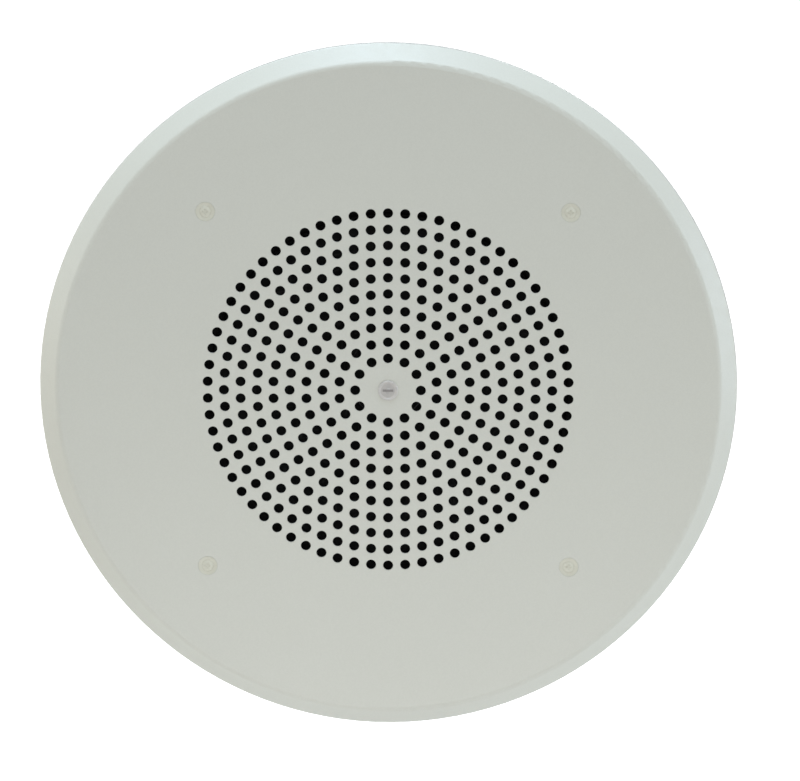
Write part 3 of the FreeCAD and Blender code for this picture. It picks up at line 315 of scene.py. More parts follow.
def powder_coat(name, paint, shank_from=None):
    """Satin powder coat: a fine orange-peel skin, thinner overspray on the back, and a painted contact
    shadow along the outer edge of the rim.

    With shank_from, what lies behind that y is bare zinc-plated steel.
    """
    f = Finish(name, paint, roughness=0.42)
    dark, light = shade(paint, 0.965), shade(paint, 1.03)
    cloud = f.mix(f.noise(9, detail=3), dark, light)
    fine = f.mix(f.cloudy(1400, detail=2), dark, light)
    coat = f.mix(0.4, cloud, fine)
    facing = f.node("ShaderNodeSeparateXYZ")
    f.plug(f.node("ShaderNodeTexCoord").outputs["Normal"], facing.inputs[0])
    behind = f.span(facing.outputs["Y"], 0.2, 0.8)
    overspray = f.mix(f.cloudy(26, detail=6), shade(paint, 0.86), shade(paint, 0.77))
    coat = f.mix(behind, coat, overspray)
    # Painted shadow: the band just in front of the wall plane, on the rim's outer edge, is darkened to
    # stand in for the contact shadow where the rim meets the surface behind.
    edge_painted_shadow = f.span(f.axes()[1], -1.7 * MM, -0.9 * MM, 0.0, 0.75)
    coat = f.mix(edge_painted_shadow, coat, (0.17, 0.17, 0.165))
    f.soften(0.25 * MM)
    f.bump(f.noise(650, detail=2), 0.05 * MM, 0.35)
    f.bump(f.noise(2600, detail=1), 0.02 * MM, 0.3)
    if shank_from is None:
        f.feed("Base Color", coat)
        f.feed("Roughness", f.cloudy(320, 0.38, 0.48))
        return f.done()
    bare = f.span(f.axes()[1], shank_from, shank_from + 0.3 * MM)
    f.feed("Base Color", f.mix(bare, coat, (0.60, 0.61, 0.62)))
    f.feed("Metallic", bare)
    f.feed("Roughness", f.cloudy(500, 0.30, 0.46))
    return f.done()


def badge_finish(name):
    """Light satin badge with a darker plain bar and field."""
    f = Finish(name, (0.58, 0.56, 0.52), metallic=0.25, roughness=0.4)
    at = f.axes()
    radius, _ = f.polar()
    field = f.span(radius, 3.0 * MM, 3.5 * MM, 0.30, 0.0)
    wide = f.span(f.math("ABSOLUTE", at[0]), 2.3 * MM, 2.8 * MM, 1.0, 0.0)
    tall = f.span(f.math("ABSOLUTE", at[2]), 0.45 * MM, 0.75 * MM, 1.0, 0.0)
    mark = f.math("MAXIMUM", field, f.math("MULTIPLY", wide, tall))
    light = f.mix(f.cloudy(500), (0.60, 0.57, 0.53), (0.54, 0.52, 0.49))
    f.feed("Base Color", f.mix(mark, light, (0.27, 0.25, 0.235)))
    f.feed("Roughness", f.cloudy(700, 0.34, 0.48, detail=2))
    f.soften(0.1 * MM)
    f.bump(f.noise(1200, detail=2), 0.006 * MM, 0.3)
    return f.done()


def zinc_plated(name):
    """Zinc-plated steel: two close tints in clouds, fine scratches and uneven gloss."""
    f = Finish(name, (0.62, 0.63, 0.64), metallic=1.0)
    clouds = f.span(f.noise(140, detail=4), 0.35, 0.65)
    f.feed("Base Color", f.mix(clouds, (0.62, 0.63, 0.64), (0.54, 0.55, 0.58)))
    f.feed("Roughness", f.cloudy(350, 0.24, 0.42, detail=5))
    f.soften(0.15 * MM)
    scratches = f.noise(1, detail=3, where=f.stretched((2500, 400, 400), (0.3, 0.5, 0.2)))
    f.bump(scratches, 0.008 * MM, 0.25)
    return f.done()


def passivated(name):
    """Yellow chromate over zinc, with its faint pink and green bloom."""
    f = Finish(name, (0.72, 0.58, 0.27), metallic=1.0)
    bloom = f.noise(38, detail=3, distortion=0.8)
    tints = [(0.25, (0.76, 0.58, 0.20)), (0.45, (0.80, 0.61, 0.30)),
             (0.58, (0.66, 0.62, 0.28)), (0.75, (0.78, 0.52, 0.30))]
    f.feed("Base Color", f.ramp(bloom, tints))
    f.feed("Roughness", f.cloudy(260, 0.26, 0.42, detail=5))
    f.soften(0.2 * MM)
    f.bump(f.noise(1, detail=3, where=f.stretched((150, 150, 2200))), 0.008 * MM, 0.3)
    return f.done()


def galvanised(name):
    """Galvanised sheet: spangle crystals, each with its own grey and gloss."""
    f = Finish(name, (0.55, 0.56, 0.57), metallic=1.0)
    crystals = 190
    tone = f.node("ShaderNodeSeparateColor")
    f.plug(f.cells(crystals), tone.inputs[0])
    greys = [(0.0, (0.47, 0.49, 0.51)), (0.5, (0.56, 0.57, 0.58)), (1.0, (0.65, 0.66, 0.66))]
    f.feed("Base Color", f.ramp(tone.outputs[0], greys))
    own_gloss = f.span(tone.outputs[1], 0.0, 1.0, 0.27, 0.40)
    f.feed("Roughness", f.math("ADD", own_gloss, f.cloudy(110, -0.02, 0.03, detail=2)))
    f.soften(0.3 * MM)
    f.bump(f.cells(crystals, output="Distance"), 0.02 * MM, 0.2)
    f.bump(f.noise(160, detail=1), 0.010 * MM, 0.25)
    return f.done()


def turned_steel(name):
    """Lathe-turned and zinc-plated plate: fine rings round the axis."""
    f = Finish(name, (0.60, 0.585, 0.545), metallic=1.0)
    radius, _ = f.polar()
    drift = f.math("MULTIPLY", f.noise(30), 0.4 * MM)
    rings = f.waves(f.math("ADD", radius, drift), 0.42 * MM)
    clouds = f.span(f.noise(55, detail=5), 0.35, 0.68)
    f.feed("Base Color", f.mix(clouds, (0.64, 0.62, 0.57), (0.52, 0.50, 0.45)))
    f.feed("Roughness", f.cloudy(420, 0.26, 0.40, detail=4))
    f.soften(0.3 * MM)
    f.bump(rings, 0.018 * MM, 0.5)
    return f.done()


def ferrite(name):
    """Sintered ferrite: near-black and ground, with fine pits and a film of dust."""
    f = Finish(name, (0.045, 0.045, 0.048), roughness=0.6)
    dust = f.span(f.noise(45, detail=5), 0.45, 0.75)
    pits = f.span(f.cells(700, output="Distance"), 0.08, 0.3)
    ground = f.mix(pits, (0.02, 0.02, 0.022), (0.047, 0.047, 0.05))
    f.feed("Base Color", f.mix(dust, ground, (0.085, 0.083, 0.08)))
    f.feed("Roughness", f.cloudy(300, 0.5, 0.72))
    f.soften(0.4 * MM)
    f.bump(pits, 0.06 * MM, 0.5)
    f.bump(f.noise(1, detail=2, where=f.stretched((120, 1600, 120))), 0.03 * MM, 0.3)
    return f.done()


def fibrous(name, colour, light, scale, roughness=0.9, depth=0.08, sheen=0.0):
    """Paper, board or felt: crossed fibres a little lighter than the ground."""
    f = Finish(name, colour, roughness=roughness)
    long = scale * 0.35
    one_way = f.stretched((scale, long, long), (0.2, 0.4, 0.3))
    other_way = f.stretched((long, long, scale), (0.5, 0.1, 0.7))
    fibres = f.math("MAXIMUM", f.noise(1, detail=4, distortion=1.5, where=one_way),
                    f.noise(1, detail=4, distortion=1.5, where=other_way))
    f.feed("Base Color", f.mix(f.span(fibres, 0.5, 0.8), colour, light))
    f.feed("Roughness", f.span(fibres, 0.4, 0.8, roughness, roughness * 0.85))
    f.set("Sheen Weight", sheen)
    f.set("Specular IOR Level", 0.25)
    f.bump(fibres, depth * MM, 0.6)
    return f.done()


def round_weave(name, colour, thread, around, pitch, roughness, sheen):
    """Woven cloth pressed into rings: threads run round the axis and out from it."""
    f = Finish(name, colour, roughness=roughness)
    radius, angle = f.polar()
    over = f.waves(angle, TURN / around)
    under = f.waves(radius, pitch)
    weave = f.math("ABSOLUTE", f.math("SUBTRACT", over, under))
    patchy = f.mix(f.span(f.noise(90, detail=4), 0.35, 0.7), colour, shade(colour, 0.75))
    f.feed("Base Color", f.mix(f.math("MULTIPLY", weave, 0.75), patchy, thread))
    f.feed("Roughness", f.span(weave, 0.0, 1.0, roughness, roughness - 0.15))
    f.set("Sheen Weight", sheen)
    f.set("Specular IOR Level", 0.2)
    f.bump(weave, 0.10 * MM, 0.6)
    return f.done()


def moulded(name, colour, roughness, grain=900, speckle=0.05, subsurface=0.0):
    """Moulded plastic: a faint flow pattern, fine grain and slightly uneven gloss."""
    f = Finish(name, colour, roughness=roughness)
    dark = shade(colour, 1 - speckle)
    light = tuple(c + 0.003 for c in shade(colour, 1 + speckle))
    flow = f.noise(1, detail=4, distortion=1.2, where=f.stretched((60, 25, 60)))
    f.feed("Base Color", f.mix(f.span(flow, 0.35, 0.65), dark, light))
    f.feed("Roughness", f.cloudy(grain * 0.5, roughness * 0.85, roughness * 1.2))
    f.soften(0.2 * MM)
    f.bump(f.noise(grain, detail=2), 0.007 * MM, 0.4)
    if subsurface:
        f.set("Subsurface Weight", subsurface)
        f.set("Subsurface Radius", (0.0015, 0.0012, 0.0008))
    return f.done()


def insulation(name, colour):
    """PVC wire covering: slightly waxy, with handling marks and a little dust."""
    f = Finish(name, colour, roughness=0.34)
    dust = f.span(f.noise(260, detail=5), 0.52, 0.8)
    dusty = tuple(c + 0.04 for c in shade(colour, 0.85))
    f.feed("Base Color", f.mix(dust, colour, dusty))
    f.feed("Roughness", f.cloudy(500, 0.28, 0.46))
    f.bump(f.noise(1500, detail=2), 0.015 * MM, 0.35)
    f.set("Specular IOR Level", 0.45)
    return f.done()


def laminated_phenolic(name):
    """Brown paper laminate: mottled face and layered edge."""
    f = Finish(name, (0.20, 0.10, 0.045), roughness=0.4)
    mottle = f.span(f.noise(220, detail=5), 0.35, 0.68)
    layers = f.waves(f.axes()[1], 0.2 * MM)
    sheets = f.mix(layers, (0.17, 0.08, 0.035), (0.23, 0.12, 0.055))
    f.feed("Base Color", f.mix(mottle, sheets, (0.13, 0.06, 0.028)))
    f.feed("Roughness", f.cloudy(400, 0.3, 0.5))
    f.soften(0.15 * MM)
    f.bump(f.noise(800, detail=2), 0.02 * MM, 0.3)
    return f.done()


def lamination(name):
    """Silicon steel sheet: dark, with patches of brown varnish and a trace of rust."""
    f = Finish(name, (0.20, 0.20, 0.21), metallic=0.85)
    varnish = f.span(f.noise(120, detail=4), 0.4, 0.7)
    rust = f.span(f.noise(420, detail=5), 0.6, 0.78)
    steel = f.mix(varnish, (0.24, 0.24, 0.25), (0.14, 0.11, 0.08))
    f.feed("Base Color", f.mix(rust, steel, (0.22, 0.09, 0.035)))
    f.feed("Roughness", f.cloudy(350, 0.32, 0.55, detail=4))
    f.bump(f.noise(1200, detail=3), 0.02 * MM, 0.4)
    return f.done()


def coil_tape(name):
    """Amber polyester tape, wound tight: overlapping edges, creases and a clear gloss."""
    f = Finish(name, (0.66, 0.42, 0.06), roughness=0.22)
    overlap = f.waves(f.axes()[1], 6.0 * MM)
    edge = f.span(overlap, 0.92, 1.0)
    wrinkle = f.noise(1, detail=4, distortion=0.5, where=f.stretched((90, 420, 90)))
    tone = f.mix(f.span(wrinkle, 0.35, 0.7), (0.70, 0.45, 0.07), (0.52, 0.30, 0.04))
    f.feed("Base Color", f.mix(edge, tone, (0.40, 0.22, 0.03)))
    f.feed("Roughness", f.cloudy(300, 0.14, 0.3))
    f.set("Coat Weight", 0.5)
    f.set("Coat Roughness", 0.12)
    f.bump(edge, 0.08 * MM, 0.5)
    f.bump(wrinkle, 0.15 * MM, 0.35)
    return f.done()


def wound_copper(name):
    """Enamelled copper wire in close turns along the axis."""
    f = Finish(name, (0.65, 0.27, 0.12), metallic=1.0, roughness=0.25)
    turns = f.waves(f.axes()[1], 0.18 * MM)
    # The colour follows the turns: darker in the grooves between them, which is painted shade, and lighter
    # on their crests.
    f.feed("Base Color", f.mix(turns, (0.30, 0.10, 0.04), (0.70, 0.31, 0.15)))
    f.feed("Roughness", f.cloudy(900, 0.2, 0.34, detail=2))
    f.bump(turns, 0.06 * MM, 0.7)
    return f.done()


def solder_metal(name, colour, roughness):
    """Tin or tinned metal: bright where it flowed, frosted where it cooled slowly."""
    f = Finish(name, colour, metallic=1.0)
    frost = f.span(f.noise(1100, detail=4), 0.4, 0.65)
    f.feed("Base Color", f.mix(frost, colour, shade(colour, 0.82)))
    f.feed("Roughness", f.cloudy(600, *roughness, detail=4))
    f.bump(f.noise(1500, detail=3), 0.03 * MM, 0.4)
    return f.done()


def anodised(name):
    """Black anodised aluminium with a fine brushed grain."""
    f = Finish(name, (0.035, 0.035, 0.038), metallic=0.6)
    grain = f.noise(1, detail=3, where=f.stretched((300, 5000, 200)))
    f.feed("Base Color", f.mix(f.span(grain, 0.35, 0.7), (0.028, 0.028, 0.031), (0.06, 0.06, 0.064)))
    f.feed("Roughness", f.span(grain, 0.3, 0.7, 0.32, 0.48))
    f.bump(grain, 0.015 * MM, 0.35)
    return f.done()


def printed_ink(name, colour):
    """Screen-printed ink: matt, with a faint mottle."""
    f = Finish(name, colour, roughness=0.55)
    f.feed("Base Color", f.mix(f.span(f.noise(2500, detail=3), 0.5, 0.8), colour, shade(colour, 0.8)))
    f.bump(f.noise(3000, detail=2), 0.01 * MM, 0.3)
    return f.done()


def cured_glue(name, colour):
    """Adhesive bead: glossy, with small waves where it set."""
    f = Finish(name, colour)
    f.feed("Base Color", f.mix(f.span(f.noise(300, detail=3), 0.35, 0.7), colour, shade(colour, 0.6)))
    f.feed("Roughness", f.cloudy(200, 0.175, 0.375))
    f.bump(f.noise(400, detail=3), 0.2 * MM, 0.5)
    f.set("Coat Weight", 0.3)
    return f.done()


def paint_nodes():
    """Give each CAD node its finish."""
    zinc = zinc_plated("zinc_plate")
    tinned = solder_metal("tinned_brass", (0.70, 0.66, 0.55), (0.22, 0.4))
    yellow = passivated("yellow_passivate")
    turned = turned_steel("turned_steel")
    nylon = moulded("natural_nylon", (0.70, 0.68, 0.60), 0.40, subsurface=0.15)
    screw_paint = powder_coat("screw_paint", SCREW_PAINT, shank_from=seat_y + 0.3 * MM)
    finishes = {
        "baffle": powder_coat("face_powder_coat", FACE_PAINT),
        "badge": badge_finish("badge_satin"),
        "mounting_screws": screw_paint,
        "gasket": fibrous("pressed_board", (0.035, 0.033, 0.03), (0.10, 0.09, 0.08), 420),
        "basket": galvanised("galvanised_frame"),
        "magnet": ferrite("ferrite"),
        "dust_cap": fibrous("felted_cap", (0.008,) * 3, (0.022, 0.021, 0.02), 700, 0.95, sheen=0.04),
        "voice_coil_former": fibrous("kraft_paper", (0.30, 0.18, 0.09), (0.42, 0.28, 0.16), 600,
                                     0.6, 0.03),
        "voice_coil_winding": wound_copper("enamelled_copper"),
        "terminal_board": laminated_phenolic("phenolic_board"),
        "transformer_bobbin": nylon,
        "lead_clip": nylon,
        "selector_body": moulded("switch_phenolic", (0.075, 0.055, 0.042), 0.45, speckle=0.25),
        "selector_dial": anodised("dial_plate"),
        "selector_knob": moulded("knob_plastic", (0.022, 0.022, 0.024), 0.3, grain=1400, speckle=0.2),
        "terminal_block": moulded("terminal_polyamide", (0.60, 0.60, 0.55), 0.4, subsurface=0.1),
        "line_lead": insulation("white_pvc", (0.74, 0.73, 0.69)),
        "primary_lead_common": insulation("black_pvc", (0.025, 0.025, 0.027)),
        "primary_lead_tap_1": insulation("brown_pvc", (0.15, 0.065, 0.03)),
        "primary_lead_tap_2": insulation("red_pvc", (0.50, 0.03, 0.025)),
        "primary_lead_tap_3": insulation("orange_pvc", (0.72, 0.22, 0.03)),
        "primary_lead_tap_4": insulation("yellow_pvc", (0.76, 0.58, 0.06)),
        "speaker_lead_left": insulation("green_pvc", (0.04, 0.28, 0.09)),
    }
    finishes["speaker_lead_right"] = finishes["primary_lead_common"]
    for name in ("speaker_studs", "lock_washers", "speaker_nuts", "plate_rivets", "bracket_rivets",
                 "transformer_strap", "transformer_screws", "transformer_nuts", "switch_bracket_rivets",
                 "selector_bushing", "selector_washer", "selector_nut", "selector_shaft",
                 "knob_set_screw", "terminal_block_screws"):
        finishes[name] = zinc
    for name in ("cone_eyelets", "terminal_lugs", "terminal_rivets", "selector_lugs"):
        finishes[name] = tinned
    for name in ("selector_bracket", "transformer_bracket", "switch_bracket"):
        finishes[name] = yellow
    for name in ("top_plate", "back_plate", "pole_piece"):
        finishes[name] = turned
    for name, material in finishes.items():
        mesh = nodes[name].data
        mesh.materials.clear()
        mesh.materials.append(material)
    return {"zinc": zinc, "screw_paint": screw_paint}


# ---------------------------------------------------------------- mesh helpers
def piece(name, bm, material, smooth=True):
    """An object from a bmesh, with its finish."""
    bmesh.ops.remove_doubles(bm, verts=bm.verts, dist=1e-7)
    bmesh.ops.recalc_face_normals(bm, faces=bm.faces)
    data = bpy.data.meshes.new(name)
    bm.to_mesh(data)
    bm.free()
    if smooth:
        data.polygons.foreach_set("use_smooth", [True] * len(data.polygons))
    made = bpy.data.objects.new(name, data)
    bpy.context.scene.collection.objects.link(made)
    data.materials.append(material)
    return made


def crease(made, degrees):
    """Keep edges sharper than this crisp while the rest shades smoothly."""
    bm = bmesh.new()
    bm.from_mesh(made.data)
    limit = math.radians(degrees)
    for edge in bm.edges:
        if len(edge.link_faces) == 2 and edge.calc_face_angle() > limit:
            edge.smooth = False
    bm.to_mesh(made.data)
    bm.free()


def join_rings(bm, rings):
    """Faces between each ring of vertices and the next."""
    for a, b in zip(rings, rings[1:]):
        for i in range(len(a)):
            j = (i + 1) % len(a)
            bm.faces.new((a[i], a[j], b[j], b[i]))


def cap_ends(bm, rings):
    """A face over the first ring of vertices and one over the last."""
    bm.faces.new(rings[0])
    bm.faces.new(rings[-1])


def lathe(bm, loop, steps, first=0.0, sweep=TURN, wobble=None):
    """Turn a closed loop of (radius, y) about the Y axis, a whole turn or a capped part of one."""
    whole = sweep == TURN
    rings = []
    for k in range(steps if whole else steps + 1):
        angle = first + sweep * k / steps
        out, along = wobble(angle) if wobble else (0.0, 0.0)
        cos, sin = math.cos(angle), math.sin(angle)
        rings.append([bm.verts.new(((r + out) * cos, y + along, (r + out) * sin)) for r, y in loop])
    if whole:
        join_rings(bm, rings + rings[:1])
    else:
        join_rings(bm, rings)
        cap_ends(bm, rings)


def sheet_loop(line, thickness):
    """A closed loop round a line of (radius, y), half the thickness to each side."""
    near, far = [], []
    for i, (r, y) in enumerate(line):
        before, after = line[max(i - 1, 0)], line[min(i + 1, len(line) - 1)]
        dr, dy = after[0] - before[0], after[1] - before[1]
        length = math.hypot(dr, dy)
        nr, ny = -dy / length * thickness / 2, dr / length * thickness / 2
        near.append((r + nr, y + ny))
        far.append((r - nr, y - ny))
    return near + far[::-1]


def direction(points, i):
    """Which way a line of points runs at one of them."""
    return (points[min(i + 1, len(points) - 1)] - points[max(i - 1, 0)]).normalized()


def sweep_tube(bm, points, radius, sides):
    """A round rod along points, with closed ends."""
    rings = []
    side = Vector((0, 0, 1))
    for i, point in enumerate(points):
        ahead = direction(points, i)
        side = (side - ahead * side.dot(ahead)).normalized()
        other = ahead.cross(side)
        ring = []
        for k in range(sides):
            angle = TURN * k / sides
            ring.append(bm.verts.new(point + (side * math.cos(angle) + other * math.sin(angle)) * radius))
        rings.append(ring)
    join_rings(bm, rings)
    cap_ends(bm, rings)


def smooth_path(points, steps):
    """Points along the NURBS line that these control points give."""
    data = bpy.data.curves.new("path", "CURVE")
    data.dimensions = "3D"
    data.resolution_u = max(2, steps // max(1, len(points) - 1))
    spline = data.splines.new("NURBS")
    spline.points.add(len(points) - 1)
    for place, point in zip(spline.points, points):
        place.co = (*point, 1)
    spline.order_u = 3
    spline.use_endpoint_u = True
    holder = bpy.data.objects.new("path", data)
    line = bpy.data.meshes.new_from_object(holder)
    found = [v.co.copy() for v in line.vertices]
    bpy.data.objects.remove(holder)
    bpy.data.curves.remove(data)
    bpy.data.meshes.remove(line)
    return found


# ---------------------------------------------------------------- driver: cone, surround and spider
# Radius and y of the cone's front at its edge, middle and neck.
cone_edge = Vector((79.5 * MM, flange_y))
cone_flare = Vector((44.0 * MM, flange_y + 11.6 * MM))
cone_neck = Vector((12.95 * MM, flange_y + 29.0 * MM))
cone_paper = 0.6 * MM


def circle_through(a, b, c):
    """Centre and radius of the circle through three points."""
    ab, ac = b - a, c - a
    cross = 2 * (ab.x * ac.y - ab.y * ac.x)
    x = a.x + (ac.y * ab.length_squared - ab.y * ac.length_squared) / cross
    y = a.y + (ab.x * ac.length_squared - ac.x * ab.length_squared) / cross
    centre = Vector((x, y))
    return centre, (a - centre).length


CONE_CENTRE, CONE_RADIUS = circle_through(cone_edge, cone_flare, cone_neck)


def cone_front(radius):
    """Where the cone's front lies at a radius from the axis."""
    rise = math.sqrt(CONE_RADIUS ** 2 - (radius - CONE_CENTRE.x) ** 2)
    return CONE_CENTRE.y - math.copysign(rise, CONE_CENTRE.y - flange_y)


def cone_rib(radius):
    """Height of the pressed rings that stiffen the cone's middle."""
    low, high, pitch, height = 31 * MM, 62 * MM, 5.2 * MM, 0.28 * MM
    if not low < radius < high:
        return 0.0
    return height * (0.5 - 0.5 * math.cos(TURN * (radius - low) / pitch))


def make_cone():
    stations = 150
    front, back = [], []
    for k in range(stations + 1):
        radius = cone_edge.x + (cone_neck.x - cone_edge.x) * k / stations
        y = cone_front(radius) + cone_rib(radius)
        front.append((radius, y))
        back.append((radius, y + cone_paper))
    bm = bmesh.new()
    lathe(bm, front + back[::-1], 180)
    pulp = fibrous("cone_pulp", (0.008,) * 3, (0.024, 0.023, 0.022), 330, 0.88, 0.12)
    cone = piece("paper_cone", bm, pulp)
    crease(cone, 50)
    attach(cone, "cone_assembly")
    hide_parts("cone")


def bead(name, radius, y, size, material, body, seed):
    """An uneven ring of glue, flatter than it is wide."""
    sides, flatness = 10, 0.6
    loop = []
    for k in range(sides):
        angle = TURN * k / sides
        loop.append((radius + size * math.cos(angle), y + size * flatness * math.sin(angle)))

    def wobble(angle):
        at = Vector((3 * math.cos(angle), 3 * math.sin(angle), seed))
        return noise.noise(at) * size * 0.5, noise.noise(at * 1.7) * size * 0.3

    bm = bmesh.new()
    lathe(bm, loop, 160, wobble=wobble)
    made = piece(name, bm, material)
    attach(made, body)


def make_glue(materials):
    """Beads round the dust cap, the cone's neck and both faces of the magnet."""
    black, amber = materials["black_glue"], materials["amber_glue"]
    thick, thin = 0.7 * MM, 0.5 * MM
    cap_edge, neck_edge = 19.1 * MM, 13.6 * MM
    front_plate_edge, back_plate_edge = magnet_high.x - 4.2 * MM, 33.1 * MM
    cap_y = cone_front(cap_edge) - 0.25 * MM
    bead("cap_glue", cap_edge, cap_y, thick, black, "cone_assembly", 1)
    neck_y = cone_neck.y + 0.1 * MM
    bead("neck_glue", neck_edge, neck_y, thick, amber, "cone_assembly", 2)
    bead("front_magnet_glue", front_plate_edge, magnet_low.y, thin, amber, "chassis", 3)
    back_y = magnet_high.y + 0.1 * MM
    bead("back_magnet_glue", back_plate_edge, back_y, thin, amber, "chassis", 4)


def in_sectors(node, line, thickness, count, steps, material):
    """A ring in equal sectors, each lathed from the same loop, with its transform baked in."""
    half = TURN / count / 2
    loop = sheet_loop(line, thickness)
    for k in range(count):
        middle = TURN * k / count
        bm = bmesh.new()
        lathe(bm, loop, steps, middle - half, 2 * half)
        made = piece("%s_%02d" % (node, k + 1), bm, material)
        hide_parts(node)
        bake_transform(made)


def make_surround():
    """Accordion edge of doped cloth: glued to the cone, two and a half pleats, glued to the flange."""
    thickness, overlap, inner, outer, end = 0.4 * MM, 74.6 * MM, 79.2 * MM, 84.4 * MM, 92.3 * MM
    height, pleats = 1.0 * MM, 2.5
    flat = flange_y - thickness / 2
    glued, flexing, clamped = 12, 56, 6
    line = []
    for k in range(glued + 1):
        radius = overlap + (inner - overlap) * k / glued
        line.append((radius, min(cone_front(radius) - 0.32 * MM, flat + 1.2 * MM)))
    start = line[-1][1]
    for k in range(1, flexing + 1):
        t = k / flexing
        swell = height * math.sin(math.pi * t) ** 0.4
        y = start + (flat - start) * t + swell * math.sin(TURN * pleats * t)
        line.append((inner + (outer - inner) * t, y))
    for k in range(1, clamped + 1):
        line.append((outer + (end - outer) * k / clamped, flat))
    cloth = round_weave("doped_cloth", (0.007,) * 3, (0.015,) * 3, 900, 0.55 * MM, 0.75, 0.01)
    in_sectors("surround", line, thickness, 24, 8, cloth)


def make_spider():
    """Corrugated centring disc of resin-dipped cotton."""
    thickness, shelf_sheet = 0.4 * MM, 0.9 * MM
    collar, inner, outer = 13.1 * MM, 15.6 * MM, 45.6 * MM
    drop, height, folds = 1.0 * MM, 1.25 * MM, 6
    seat = shelf_back_y - shelf_sheet - thickness / 2
    line = [(collar, seat - 2.2 * MM),
            (collar + 0.1 * MM, seat - 1.5 * MM),
            (collar + 0.5 * MM, seat - 1.1 * MM),
            (collar + 1.2 * MM, seat - drop),
            (inner, seat - drop)]
    flexing, glued = 120, 4
    for k in range(1, flexing + 1):
        t = k / flexing
        fade = min(1.0, 8 * t, 8 * (1 - t))
        y = seat - drop * (1 - t) + height * fade * math.sin(TURN * folds * t)
        line.append((inner + (outer - inner) * t, y))
    for k in range(1, glued + 1):
        line.append((outer + (spider_edge - outer) * k / glued, seat))
    cloth = round_weave("spider_cotton", (0.50, 0.31, 0.11), (0.66, 0.46, 0.20), 210, 0.85 * MM,
                        0.62, 0.1)
    in_sectors("spider", line, thickness, 12, 12, cloth)


def make_tinsel(side, materials):
    """Three strands twisted together, from a terminal tag to the cone's eyelet."""
    tag_x, eye_x = side * lug_x, side * eyelet_x
    eye_y = cone_front(math.hypot(eye_x, eyelet_z)) + 2.7 * MM
    route = [(tag_x, shelf_back_y + 2.6 * MM, lug_z - 8.5 * MM),
             (tag_x, shelf_back_y - 4.5 * MM, lug_z - 9.2 * MM),
             (tag_x - side * 0.6 * MM, shelf_back_y - 12.0 * MM, lug_z - 7.0 * MM),
             (tag_x - side * 4.0 * MM, shelf_back_y - 16.5 * MM, lug_z + 1.0 * MM),
             (eye_x + side * 3.0 * MM, eye_y + 3.9 * MM, eyelet_z - 8.5 * MM),
             (eye_x + side * 0.4 * MM, eye_y + 5.0 * MM, eyelet_z - 1.5 * MM),
             (eye_x, eye_y + 0.1 * MM, eyelet_z)]
    path = smooth_path(route, 180)
    strands, spread, strand_radius, twist = 3, 0.26 * MM, 0.27 * MM, 2.6 * MM
    bm = bmesh.new()
    for strand in range(strands):
        points, run = [], 0.0
        for i, point in enumerate(path):
            ahead = direction(path, i)
            run += (point - path[max(i - 1, 0)]).length
            one = ahead.cross(Vector((1, 0, 0.2))).normalized()
            two = ahead.cross(one)
            angle = TURN * (run / twist + strand / strands)
            points.append(point + (one * math.cos(angle) + two * math.sin(angle)) * spread)
        sweep_tube(bm, points, strand_radius, 8)
    hand = "right" if side > 0 else "left"
    made = piece("tinsel_braid_" + hand, bm, materials["braid"])
    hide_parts("tinsel_lead_" + hand)
    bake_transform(made)


# ---------------------------------------------------------------- threads
def helix_ridge(bm, x, z, y0, y1, radius, pitch, crest):
    """A thread ridge round a shank along Y, faded out at both ends."""
    turns = (y1 - y0) / pitch
    steps = int(turns * 20)
    root, half_foot, fade = radius - 0.05 * MM, pitch * 0.42, 14
    rings = []
    for k in range(steps + 1):
        t = k / steps
        angle = TURN * turns * t
        height = crest * min(1.0, fade * t, fade * (1 - t))
        way = Vector((math.cos(angle), 0, math.sin(angle)))
        centre = Vector((x, y0 + (y1 - y0) * t, z))
        section = ((root, -half_foot), (radius + height, 0.0), (root, half_foot))
        rings.append([bm.verts.new(centre + way * r + Vector((0, dy, 0))) for r, dy in section])
    join_rings(bm, rings)
    cap_ends(bm, rings)


def screw_places():
    """x and z of the four mounting screws."""
    return [(sx * screw_side, sz * screw_side) for sx in (1, -1) for sz in (1, -1)]


def make_screw_paint(materials):
    """The coat that bridges each screw's head and its seat, and half fills the cross recess."""
    rim, head_edge, recess_edge, hub = 4.42 * MM, 2.7 * MM, 1.3 * MM, 0.02 * MM
    skin_y, under_y = screw_low.y + 0.16 * MM, screw_low.y + 0.30 * MM
    slope = [(rim, skin_y), (head_edge, screw_low.y + 0.50 * MM),
             (head_edge, screw_low.y + 0.75 * MM), (rim, under_y)]
    pool = [(hub, skin_y), (recess_edge, skin_y), (recess_edge, under_y), (hub, under_y)]
    bm = bmesh.new()
    for x, z in screw_places():
        done = set(bm.verts)
        lathe(bm, slope, 48)
        lathe(bm, pool, 24)
        fresh = [v for v in bm.verts if v not in done]
        bmesh.ops.translate(bm, verts=fresh, vec=(x, 0, z))
    made = piece("screw_paint_bridge", bm, materials["screw_paint"])
    crease(made, 50)
    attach(made, "chassis")


def make_threads(materials):
    """Ridges on the shanks of the mounting screws and the speaker studs."""
    bm = bmesh.new()
    for x, z in screw_places():
        helix_ridge(bm, x, z, seat_y + 1.6 * MM, screw_high.y - 1.2 * MM, 2.0 * MM, 0.75 * MM, 0.16 * MM)
    threads = piece("mounting_screw_threads", bm, materials["zinc"], smooth=False)
    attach(threads, "chassis")
    bm = bmesh.new()
    for k in range(4):
        angle = TURN * (k + 0.5) / 4
        x, z = stud_circle * math.cos(angle), stud_circle * math.sin(angle)
        helix_ridge(bm, x, z, flange_y + 4.4 * MM, stud_end_y - 0.9 * MM, 1.9 * MM, 0.7 * MM, 0.14 * MM)
    threads = piece("stud_threads", bm, materials["zinc"], smooth=False)
    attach(threads, "chassis")


